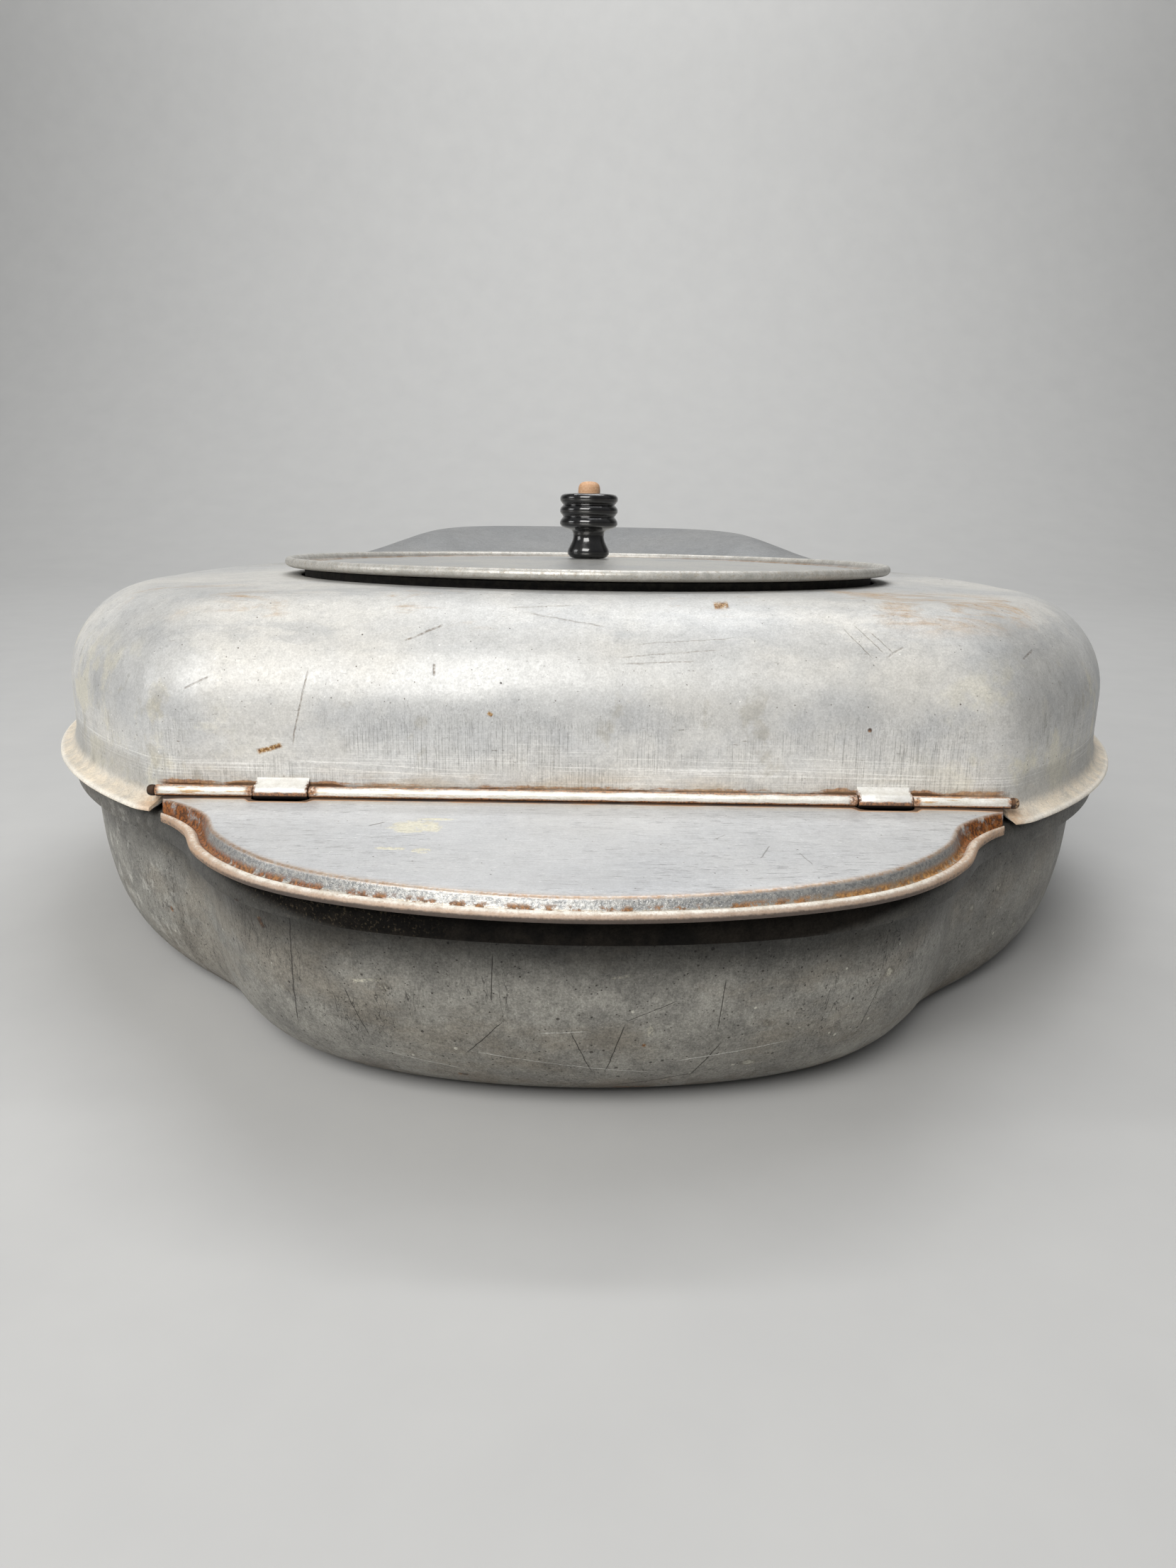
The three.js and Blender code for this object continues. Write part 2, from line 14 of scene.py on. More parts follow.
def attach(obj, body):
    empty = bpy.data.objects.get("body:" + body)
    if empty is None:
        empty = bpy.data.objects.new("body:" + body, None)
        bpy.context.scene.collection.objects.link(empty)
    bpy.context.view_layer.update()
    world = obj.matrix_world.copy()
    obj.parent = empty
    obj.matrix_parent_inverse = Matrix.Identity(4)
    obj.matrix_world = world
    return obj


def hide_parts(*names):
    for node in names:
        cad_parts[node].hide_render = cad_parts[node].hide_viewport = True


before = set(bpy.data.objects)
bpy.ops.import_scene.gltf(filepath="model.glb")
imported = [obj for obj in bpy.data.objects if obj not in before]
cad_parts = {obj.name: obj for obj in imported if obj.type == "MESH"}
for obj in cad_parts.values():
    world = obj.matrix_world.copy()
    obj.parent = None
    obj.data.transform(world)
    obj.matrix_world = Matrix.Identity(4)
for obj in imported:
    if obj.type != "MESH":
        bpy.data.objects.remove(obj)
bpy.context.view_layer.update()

MM = 0.001
RAD = math.pi / 180

# ------------------------------------------------------------ driving sizes
BODY_R = 237.0  # front plate rim, before its front swelling
LOBE = 36.5  # how far the front and rear swellings stand out
CHORD = 181.0  # the cover's flat front wall, forward of the z axis
HINGE_Y, HINGE_Z = -184.0, 82.5
KNUCKLE_IN, KNUCKLE_OUT = 92.0, 110.0  # |x| of the ends of the cover's short hinge tubes
WALL_R = 230.5  # cover wall
TOP_Z, TILT = 140.8, 0.0393  # height of the opening, fall of the top towards +y
OPEN_R = 134.2
SHEET = 1.0  # cover sheet thickness
LID_Z = 146.4
TUB_WALL = 1.2
SHELF_R, SHELF_Z = 128.0, 21.0


# ------------------------------------------------------------ plan outlines
def smooth_table(*table):
    """Monotone cubic curve through (x, y) pairs, held level beyond both ends."""
    xs, ys = zip(*table)
    spans = len(xs) - 1
    rises = [(ys[i + 1] - ys[i]) / (xs[i + 1] - xs[i]) for i in range(spans)]
    slopes = [0.0]
    for before, after in zip(rises, rises[1:]):
        product = before * after
        slopes.append(0.0 if product <= 0 else 2 * product / (before + after))
    slopes.append(rises[-1])

    def curve(x):
        if x <= xs[0]:
            return ys[0]
        if x >= xs[-1]:
            return ys[-1]
        i = max(j for j in range(spans) if xs[j] <= x)
        width = xs[i + 1] - xs[i]
        t = (x - xs[i]) / width
        return ((1 + 2 * t) * (1 - t) ** 2 * ys[i] + t * (1 - t) ** 2 * width * slopes[i]
                + t * t * (3 - 2 * t) * ys[i + 1] + t * t * (t - 1) * width * slopes[i + 1])
    return curve


# Degrees from the middle of a swelling, share of its full size.
lobe = smooth_table(
    (0, 1), (6, 0.985), (12, 0.95), (16, 0.91), (19.6, 0.835), (23.3, 0.69),
    (27.6, 0.45), (31.5, 0.15), (34.8, 0.03), (38, 0), (60, 0))
tub_lobe = smooth_table(
    (0, 1), (6, 0.995), (12, 0.975), (16, 0.93), (19.6, 0.84), (23.3, 0.67),
    (27.6, 0.39), (31.5, 0.13), (34.8, 0.03), (38, 0), (60, 0))
rear_hump = smooth_table(
    (0, 1), (14, 1), (21, 0.97), (26, 0.9), (31, 0.77), (36, 0.55), (41, 0.3),
    (46, 0.12), (52, 0), (90, 0))
# Degrees from the front, radius of the cover's rolled shoulder.
roll_radius = smooth_table((0, 43), (34, 43), (60, 38), (125, 37), (150, 40), (180, 43))


def smoothstep(t):
    t = min(1.0, max(0.0, t))
    return t * t * (3 - 2 * t)


def from_front(phi):
    """Degrees between a plan angle and the front."""
    return abs(((phi + 90 + 540) % 360) - 180)


def tub_swelling(phi):
    stretch = 1.06
    turn = from_front(phi)
    return tub_lobe(turn / stretch) + tub_lobe((180 - turn) / stretch)


def cover_outline(phi, inset):
    """Plan radius of the cover: round, with a flat front wall blended in."""
    turn = from_front(phi)
    rounded = WALL_R + LOBE * lobe(180 - turn) - inset
    if turn > 75:
        return rounded
    flat = (CHORD - inset) / math.cos(turn * RAD)
    blend = 7 + 0.3 * inset
    share = min(1, max(0, 0.5 + 0.5 * (flat - rounded) / blend))
    return flat * (1 - share) + rounded * share - blend * share * (1 - share)


def crest_z(phi):
    """Height of the cover where its shoulder meets the top."""
    turn = from_front(phi)
    r = cover_outline(phi, roll_radius(turn))
    y = r * math.sin(phi * RAD)
    return (TOP_Z - TILT * y - 0.045 * (r - 137) + 0.033 * max(0, y)
            + 19.5 * rear_hump(180 - turn))


# ----------------------------------------------------------- mesh helpers
def reflect(point, other):
    return tuple(2 * a - b for a, b in zip(point, other))


def spline(points, steps, corners=()):
    """Smooth curve through tuples, each span cut into steps; corners lists sharp indices."""
    curve = []
    for i in range(len(points) - 1):
        start, end = points[i], points[i + 1]
        before = points[i - 1] if i > 0 and i not in corners else reflect(start, end)
        onward = i + 2 < len(points) and i + 1 not in corners
        after = points[i + 2] if onward else reflect(end, start)
        span = math.dist(start[:2], end[:2]) or 1e-6
        ratio_in = span / max(span, math.dist(before[:2], start[:2]))
        ratio_out = span / max(span, math.dist(end[:2], after[:2]))
        for s in range(steps):
            t = s / steps
            point = []
            for q0, q1, q2, q3 in zip(before, start, end, after):
                slope_in = (q2 - q0) * 0.5 * (2 * ratio_in / (1 + ratio_in))
                slope_out = (q3 - q1) * 0.5 * (2 * ratio_out / (1 + ratio_out))
                point.append((2 * t ** 3 - 3 * t * t + 1) * q1
                             + (t ** 3 - 2 * t * t + t) * slope_in
                             + (-2 * t ** 3 + 3 * t * t) * q2 + (t ** 3 - t * t) * slope_out)
            curve.append(tuple(point))
    curve.append(tuple(points[-1]))
    return curve


def make(name, mesh, material, body, replaces=None, matrix=Matrix(), sharp=32):
    """Piece from (verts, faces, tags) in millimetres, faces turned outward, riding on a body.

    Tags, where given, become the "sec" attribute: how far along its section a vertex lies.
    """
    verts, faces, tags = mesh
    volume = 0.0
    for face in faces:
        first, *rest = [Vector(verts[i]) for i in face]
        for second, third in zip(rest, rest[1:]):
            volume += first.dot(second.cross(third))
    if volume < 0:
        faces = [tuple(reversed(face)) for face in faces]
    data = bpy.data.meshes.new(name)
    to_metres = Matrix.Scale(MM, 4) @ matrix
    data.from_pydata([tuple(to_metres @ Vector(v)) for v in verts], [], faces)
    if tags:
        data.attributes.new("sec", "FLOAT", "POINT").data.foreach_set("value", tags)
    data.update()
    data.polygons.foreach_set("use_smooth", [True] * len(data.polygons))
    data.set_sharp_from_angle(angle=sharp * RAD)
    piece = bpy.data.objects.new(name, data)
    bpy.context.scene.collection.objects.link(piece)
    data.materials.append(material)
    if replaces:
        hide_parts(replaces)
    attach(piece, body)


def sweep(section, phis):
    """Skin sections placed round the z axis; section(phi) lists (r, z) or (r, z, tag).

    A point with r = 0 becomes a single pole; without poles the section closes on itself.
    """
    verts, tags, rows = [], [], []
    for row in zip(*[section(phi) for phi in phis]):
        first = len(verts)
        if row[0][0] == 0:
            row = row[:1]
        for phi, (r, z, *tag) in zip(phis, row):
            verts.append((r * math.cos(phi * RAD), r * math.sin(phi * RAD), z))
            tags += tag
        rows.append(range(first, len(verts)))
    ring = len(rows[0]) > 1
    faces = []
    for j in range(len(rows) - (0 if ring else 1)):
        here, there = rows[j], rows[(j + 1) % len(rows)]
        for i in range(len(phis)):
            k = (i + 1) % len(phis)
            if len(here) == 1:
                faces.append((here[0], there[i], there[k]))
            elif len(there) == 1:
                faces.append((here[i], there[0], here[k]))
            else:
                faces.append((here[i], there[i], there[k], here[k]))
    return verts, faces, tags


def lathe(points, segments):
    return sweep(lambda phi: points, [i * 360 / segments for i in range(segments)])


def loft_faces(rows, around, joined=False):
    """Quads between rows of vertices; the last row joins the first, or both ends are capped."""
    faces = []
    for j in range(rows if joined else rows - 1):
        here, there = j * around, (j + 1) % rows * around
        for i in range(around):
            k = (i + 1) % around
            faces.append((here + i, here + k, there + k, there + i))
    if not joined:
        faces.append(tuple(reversed(range(around))))
        faces.append(tuple((rows - 1) * around + i for i in range(around)))
    return faces


# --------------------------------------------------------- shader helpers
class Wire:
    """A shader value. Arithmetic adds Math nodes; paint, shade, rust and grain change it
    in place and return it."""

    def __init__(self, socket):
        self.socket = socket

    def __add__(self, other):
        return math_node("ADD", self, other)

    def __radd__(self, other):
        return math_node("ADD", other, self)

    def __sub__(self, other):
        return math_node("SUBTRACT", self, other)

    def __rsub__(self, other):
        return math_node("SUBTRACT", other, self)

    def __mul__(self, other):
        return math_node("MULTIPLY", self, other)

    def __pow__(self, other):
        return math_node("POWER", self, other)

    def paint(self, mask, colour, amount=None):
        """Lay a colour over this one where the mask is 1, thinned by amount."""
        if amount is not None:
            mask = mask * amount
        self.socket = mix(mask, self, colour).socket
        return self

    def shade(self, factor):
        """Multiply the brightness."""
        scaled = wire("ShaderNodeVectorMath", {0: self, "Scale": factor}, operation="SCALE")
        self.socket = scaled.socket
        return self

    def rust(self, mask, amount, seed):
        """Rust that follows a mask, darker in its middle."""
        cloud = noise(0.7, detail=5, shift=(seed, 3, 1))
        dark = mix(step(cloud, 0.42, 0.62), RUST, RUST_DARK)
        return self.paint(mask, mix(step(cloud, 0.3, 0.5), TAN, dark), amount)

    def grain(self, depth, seed):
        """Fine uneven brightness, from fractions of a millimetre to a few millimetres."""
        small = noise(1.5, detail=3, rough=0.75, shift=(seed, 1, 4))
        middle = noise(0.5, rough=0.7, shift=(seed, 6, 2))
        large = noise(0.14, shift=(seed, 2, 8))
        grains = (small - 0.5) * 2.2 + ((middle - 0.5) * 1.3 + (large - 0.5) * 1.0)
        return self.shade(1.0 + grains * depth)


def plug(socket, value):
    if isinstance(value, Wire):
        tree.links.new(value.socket, socket)
    elif isinstance(value, tuple) and socket.type == "RGBA":
        socket.default_value = (*value, 1.0)
    else:
        socket.default_value = value


def node(kind, inputs=None, **settings):
    """Add a node to the open tree and return its outputs."""
    made = tree.nodes.new(kind)
    for key, value in settings.items():
        setattr(made, key, value)
    for key, value in (inputs or {}).items():
        plug(made.inputs[key], value)
    return made.outputs


def wire(kind, inputs=None, output=0, **settings):
    return Wire(node(kind, inputs, **settings)[output])


def begin(name):
    """Open an empty material; returns the wires of x, y and z in millimetres."""
    global material, tree, position
    material = bpy.data.materials.new(name)
    material.use_nodes = True
    tree = material.node_tree
    tree.nodes.clear()
    position = stretch(wire("ShaderNodeTexCoord", output="Object"), (1000, 1000, 1000))
    return map(Wire, node("ShaderNodeSeparateXYZ", {0: position}))


def finish(**inputs):
    """Close the material with a Principled shader and return it."""
    named = {key.replace("_", " "): value for key, value in inputs.items()}
    node("ShaderNodeOutputMaterial", {0: wire("ShaderNodeBsdfPrincipled", named)})
    return material


def math_node(operation, first, second=0.0):
    return wire("ShaderNodeMath", {0: first, 1: second, 2: 0.0}, operation=operation)


def absolute(value):
    return math_node("ABSOLUTE", value)


def highest(first, *others):
    for other in others:
        first = math_node("MAXIMUM", first, other)
    return first


def stretch(vector, scale):
    return wire("ShaderNodeVectorMath", {0: vector, 1: scale}, operation="MULTIPLY")


def move(vector, shift):
    return wire("ShaderNodeVectorMath", {0: vector, 1: shift}, operation="ADD")


def mix(mask, low, high):
    """Colour low where the mask is 0, high where it is 1."""
    return wire("ShaderNodeMix", {0: mask, 6: low, 7: high}, output=2, data_type="RGBA")


def step(value, zero_at, one_at):
    """0 to 1 between two values, which may run downward."""
    if zero_at > one_at:
        value, zero_at, one_at = value * -1, -zero_at, -one_at
    return wire("ShaderNodeMapRange", {"Value": value, "From Min": zero_at, "From Max": one_at},
                interpolation_type="SMOOTHSTEP")


def band(value, low, high, soft):
    """1 between low and high, with edges soft to either side."""
    return step(value, low - soft, low + soft) * step(value, high + soft, high - soft)


def noise(scale, detail=4, rough=0.65, shift=(0, 0, 0), distort=0.0, space=None):
    """Cloud noise; scale is its frequency per millimetre, one number or one for each axis."""
    if isinstance(scale, (int, float)):
        scale = (scale, scale, scale)
    vector = stretch(space or position, scale)
    if any(shift):
        vector = move(vector, shift)
    return wire("ShaderNodeTexNoise", {"Vector": vector, "Scale": 1.0, "Detail": detail,
                                       "Roughness": rough, "Distortion": distort})


def contour(cloud, wide, narrow):
    """Thin lines where a noise crosses its middle value."""
    return step(absolute(cloud - 0.5), wide, narrow)


def cells(scale, shift):
    """Distance and random colour of scattered cells."""
    vector = move(stretch(position, scale), shift)
    return list(map(Wire, node("ShaderNodeTexVoronoi", {"Vector": vector, "Scale": 1.0})))[:2]


def spots(scale, size, keep, shift):
    """Small scattered dots: one to a cell, only in the kept share of the cells."""
    distance, colour = cells((scale, scale, scale), shift)
    chance, spread, _ = map(Wire, node("ShaderNodeSeparateColor", {0: colour}))
    radius = spread * size
    inside = math_node("GREATER_THAN", radius - distance, 0.0)
    soft = step(radius - distance, 0.0, size * 0.35)
    return soft * inside * math_node("LESS_THAN", chance, keep)


def scratches(across_x, other, rows):
    """Thin tapering marks in the plane of two coordinates.

    Rows hold the start, the end, the half width and, where wanted, the strength.
    """
    marks = []
    for x1, y1, x2, y2, width, *strength in rows:
        length = math.hypot(x2 - x1, y2 - y1)
        dx, dy = (x2 - x1) / length, (y2 - y1) / length
        wobble = (noise(0.25, detail=2, rough=0.55) - 0.5) * 0.8
        a = across_x - x1
        b = other - y1
        off_line = absolute(b * dx - a * dy + wobble)
        along = a * dx + b * dy
        mark = step(off_line, width, width * 0.3) * band(along, 0.0, length, length * 0.08)
        marks.append(mark * strength[0] if strength else mark)
    return highest(*marks)


def relief(height, depth, strength, over=None):
    """Bump of a depth in millimetres, laid over another one."""
    inputs = {"Distance": depth * MM, "Strength": strength, "Height": height}
    if over is not None:
        inputs["Normal"] = over
    return wire("ShaderNodeBump", inputs)


def section_tag():
    return wire("ShaderNodeAttribute", output="Fac", attribute_name="sec")


# -------------------------------------------------------------- materials
RUST = (0.23, 0.085, 0.022)
RUST_DARK = (0.035, 0.016, 0.008)
ORANGE = (0.42, 0.19, 0.05)
TAN = (0.50, 0.30, 0.13)
CREAM = (0.74, 0.655, 0.53)
SILVER = (0.60, 0.60, 0.585)


def cover_material():
    """Section tags: 0-1.4 foot, 2-3 wall, 3-4 shoulder, 4-5 top, from 6 inside."""
    x, y, z = begin("worn_plate_cover")
    section = section_tag()
    aside = absolute(x)
    big = noise((0.012, 0.012, 0.02), rough=0.6)
    mid = noise(0.05, detail=5, rough=0.6, shift=(9, 2, 4))
    fine = noise(0.9, rough=0.6)
    on_front = step(y, -150, -172)
    coat = mix(step(big, 0.38, 0.62), SILVER, (0.68, 0.665, 0.625))
    coat.paint(step(mid, 0.5, 0.7), (0.5, 0.505, 0.5), amount=0.4)
    # cooler band where the wall begins to turn
    coat.paint(band(z, 96, 116, 9), (0.5, 0.51, 0.52), amount=0.22 + step(mid, 0.4, 0.6) * 0.3)
    # upright and level hairlines
    upright = noise((2.3, 2.3, 0.03), rough=0.75)
    long_upright = noise((1.1, 1.1, 0.012), detail=3, rough=0.7, shift=(4, 8, 2))
    level = noise((0.02, 0.02, 2.1), rough=0.75, shift=(5, 0, 0))
    patchy = step(noise((0.03, 0.03, 0.05), detail=3, rough=0.5, shift=(3, 7, 1)), 0.38, 0.56)
    low_wall = step(z, 118, 100)
    dark_hairs = step(upright, 0.54, 0.64) * patchy * (0.25 + low_wall * 0.75)
    cracks = contour(long_upright, 0.010, 0.003) * (low_wall * patchy)
    level_hairs = step(level, 0.56, 0.66) * step(z, 116, 92)
    foot_cloud = noise((0.012, 0.012, 1.5), detail=3, rough=0.7, shift=(2, 3, 9))
    foot_hairs = step(foot_cloud, 0.53, 0.61) * band(z, 86, 94, 3)
    coat.paint(dark_hairs, (0.22, 0.215, 0.2), amount=0.42)
    coat.paint(cracks, (0.12, 0.11, 0.1), amount=0.4)
    coat.paint(level_hairs, (0.84, 0.835, 0.81), amount=0.45)
    coat.paint(foot_hairs, (0.9, 0.895, 0.87), amount=0.6)
    # short angled cuts, upright and level ones in different patches
    where = noise(0.5, detail=2, rough=0.5, shift=(1, 8, 2), distort=1.2)
    cut_cloud = noise((0.9, 0.9, 0.16), detail=3, rough=0.7, shift=(40, 3, 9), distort=0.8)
    nick_cloud = noise((0.12, 0.6, 1.5), detail=3, rough=0.7, shift=(14, 31, 9), distort=0.5)
    cuts = highest(step(cut_cloud, 0.69, 0.75) * step(where, 0.48, 0.6),
                   step(nick_cloud, 0.68, 0.73) * step(where, 0.52, 0.44))
    coat.paint(cuts, (0.2, 0.16, 0.12), amount=0.7)
    # tan staining where the front rolls over to the top, heaviest on the right
    front = step(y, -70, -118)
    flow = noise((0.028, 0.05, 0.1), detail=6, rough=0.7, shift=(2, 1, 6), distort=0.6)
    sides = band(x, 95, 168, 18) * 1.0 + (band(x, -175, -105, 18) * 0.45
                                          + band(x, -100, -50, 15) * 0.2)
    stain = front * band(z, 138, 154, 5) * step(flow + sides * 0.2, 0.6, 0.76)
    broken = noise((0.12, 0.4, 0.4), detail=5, rough=0.7, shift=(3, 3, 30))
    stain = stain * (0.35 + step(broken, 0.42, 0.6) * 0.65)
    tans = mix(step(fine, 0.4, 0.6), (0.52, 0.34, 0.16), (0.42, 0.26, 0.13))
    coat.paint(stain, tans, amount=0.8)
    grey_cloud = noise((0.02, 0.04, 0.09), detail=5, shift=(12, 1, 3))
    greys = front * band(z, 128, 150, 5) * step(grey_cloud, 0.5, 0.62)
    coat.paint(greys, (0.44, 0.45, 0.455), amount=0.4)
    # pale cream blotches on the side walls, grey scuffs beside them
    blotches = (step(noise(0.04, detail=5, shift=(7, 7, 0)), 0.5, 0.62)
                * (step(aside, 95, 150) * step(z, 134, 118)))
    coat.paint(blotches, (0.74, 0.7, 0.56), amount=0.55)
    scuff_cloud = noise((0.16, 0.16, 0.07), detail=5, rough=0.7, shift=(3, 17, 0))
    scuffs = step(scuff_cloud, 0.56, 0.68) * (step(aside, 120, 165) * step(z, 134, 118))
    coat.paint(scuffs, (0.3, 0.295, 0.26), amount=0.45)
    dull_cloud = noise((0.06, 0.06, 0.05), detail=5, shift=(5, 3, 8))
    coat.paint(step(dull_cloud, 0.58, 0.68) * step(z, 122, 112), (0.4, 0.37, 0.3), amount=0.4)
    # ragged pits, glints and a few brown dots
    ragged = step(noise(2.0, detail=3, rough=0.7, shift=(6, 5, 5)), 0.4, 0.52)
    pits = spots(0.19, size=0.1, keep=0.45, shift=(0.3, 0.7, 0.1)) * ragged
    tiny = spots(0.5, size=0.17, keep=0.55, shift=(3.3, 1.7, 5.1)) * ragged
    coat.paint(highest(pits, tiny), (0.08, 0.062, 0.045), amount=0.85)
    glints = spots(0.35, size=0.13, keep=0.35, shift=(8.3, 2.7, 1.1))
    coat.paint(glints, (0.92, 0.91, 0.88), amount=0.8)
    coat.rust(spots(0.045, size=0.06, keep=0.5, shift=(4, 4, 1)), amount=0.9, seed=4)
    # a few long dark marks, pale marks and brown spots on the flat front
    marks = scratches(x, z, [
        (-92, 122, -97, 99, 0.35, 0.8), (-60.5, 132, -49, 136.5, 0.45, 0.9),
        (-133, 116, -125, 120, 0.35, 0.6), (-50, 125, -50.2, 121.5, 0.5, 0.9),
        (88, 137, 96, 129, 0.22, 0.7), (92, 138, 100, 130.5, 0.22, 0.65),
        (97, 136, 103, 131, 0.25, 0.65), (107, 132, 101, 129, 0.4, 0.5),
        (-20, 140.5, 6, 137, 0.3, 0.5), (-26, 142, -4, 143, 0.25, 0.5),
        (12, 128, 44, 130.5, 0.3, 0.5), (14, 126, 36, 127, 0.3, 0.55),
        (18, 132, 50, 134, 0.25, 0.45), (150, 128, 156, 130, 0.5, 0.7),
    ]) * step(y, -140, -160)
    coat.paint(marks, (0.17, 0.125, 0.085), amount=0.3 + step(fine, 0.4, 0.55) * 0.5)
    pale = scratches(x, z, [
        (-100, 93, -40, 90, 0.25), (-100, 90.5, -30, 87.5, 0.25), (-15, 92, 60, 90, 0.2),
        (12, 95, 58, 94.2, 0.2), (60, 92, 118, 90.5, 0.25), (70, 96, 110, 95, 0.2),
    ]) * on_front
    coat.paint(pale, (0.92, 0.91, 0.88), amount=0.45)
    brown_spots = scratches(x, z, [
        (-109, 95.5, -101, 98, 1.3, on_front),
        (44.5, 143.2, 49.5, 143.6, 1.3, step(y, -120, -140)),
        (-32, 110, -30.5, 109, 1.0, on_front),
    ])
    browns = mix(step(fine, 0.45, 0.6), (0.46, 0.27, 0.09), (0.16, 0.07, 0.03))
    coat.paint(brown_spots, browns, amount=step(fine, 0.3, 0.5))
    # rust that creeps up from the hinge tubes
    creep = noise((0.05, 0.05, 0.3), detail=5, rough=0.7, shift=(1, 2, 3))
    knuckle = highest(band(aside, 82, 92, 4), band(aside, 110, 118, 4) * 0.9)
    hot = highest(knuckle, band(aside, 126, 142, 4) * 0.7)
    ragged_z = (noise((0.25, 0.25, 0.9), detail=5, rough=0.75, shift=(21, 2, 3)) - 0.5) * 3.2
    near = (step(z + ragged_z + hot * -0.8, 85.3, 84.6)
            * (on_front * step(aside, 146, 139)))
    orange = near * step(creep + hot * 0.22, 0.4, 0.56)
    coat.paint(orange, mix(step(fine, 0.42, 0.6), ORANGE, RUST), amount=0.85)
    seam = (step(z + ragged_z * 0.4 + knuckle * -0.6, 84.5, 84.1)
            * (on_front * step(aside, 146, 140)))
    coat.paint(seam, (0.1, 0.045, 0.018),
               amount=0.45 + step(creep + knuckle * 0.3, 0.42, 0.6) * 0.5)
    haze_cloud = noise((0.03, 0.03, 0.12), rough=0.6, shift=(9, 2, 3))
    haze = step(z, 92, 85) * on_front * step(haze_cloud, 0.48, 0.66)
    coat.paint(haze, (0.52, 0.42, 0.29), amount=0.4)
    # worn cream flange, with painted shade where the wall turns out into it
    side_wall = step(y, -184, -176)
    painted_crease_shade = (step(z, 98, 88) * step(section, 0.7, 1.2)
            * (step(section, 2.4, 1.9) * step(aside, 141, 152)))
    coat.paint(painted_crease_shade, (0.3, 0.29, 0.26), amount=0.42)
    flange = step(section, 1.3, 0.8) * step(z, 84, 79.5)
    worn = noise(0.14, detail=5, shift=(6, 6, 6))
    cream = mix(step(worn, 0.4, 0.65), CREAM, (0.6, 0.55, 0.47))
    speckle = noise(1.1, rough=0.7, shift=(8, 1, 1))
    cream.paint(step(speckle, 0.56, 0.68), (0.34, 0.24, 0.15), amount=0.45)
    cream.paint(band(section, 0.15, 0.45, 0.1), (0.88, 0.85, 0.78), amount=0.55)
    cream.paint(band(aside, 139, 150, 6) * step(y, -166, -178), (0.62, 0.38, 0.19),
                amount=step(worn, 0.4, 0.6) * 0.7)
    coat.paint(flange, cream, amount=0.92)
    coat.paint(step(section, 0.14, 0.02) * side_wall, (0.2, 0.14, 0.09), amount=0.6)
    # painted shade and reflection: the upward faces are painted darker, the back darker, bluer
    # and duller
    top = step(section, 3.45, 4.0)
    back = step(y, 40, 150)
    coat.shade(1.0 - (top * 0.2 + back * 0.5))
    coat.paint(back, (0.3, 0.315, 0.33), amount=0.35)
    # painted shade over the strongly lit upper front wall, painted a little lighter elsewhere
    coat.shade(1.04 - band(z, 106, 139, 9) * step(y, -120, -150) * 0.2)
    coat.grain(depth=0.34, seed=3)
    inside = step(section, 5.5, 6.0)
    greys = mix(step(mid, 0.4, 0.6), (0.3, 0.29, 0.26), (0.4, 0.38, 0.33))
    coat.paint(inside, greys.grain(depth=0.3, seed=2))
    rough = wire("ShaderNodeMix", {0: step(big, 0.35, 0.65), 2: 0.5, 3: 0.6}, data_type="FLOAT")
    rough = rough + (fine - 0.5) * 0.24 + (stain * 0.2 + flange * 0.12)
    height = upright * 0.08 + (level * 0.06 + fine * 0.1)
    height = height - highest(pits, cuts, marks, cracks * 0.4) * 0.6
    dents = noise((0.02, 0.02, 0.03), detail=2, rough=0.5, shift=(5, 5, 5))
    return finish(
        Base_Color=coat, Roughness=rough,
        Metallic=0.34 - (stain * 0.2 + (orange * 0.3 + flange * 0.2)),
        Normal=relief(dents, depth=6.0, strength=0.3,
                      over=relief(height, depth=0.25, strength=0.75)))


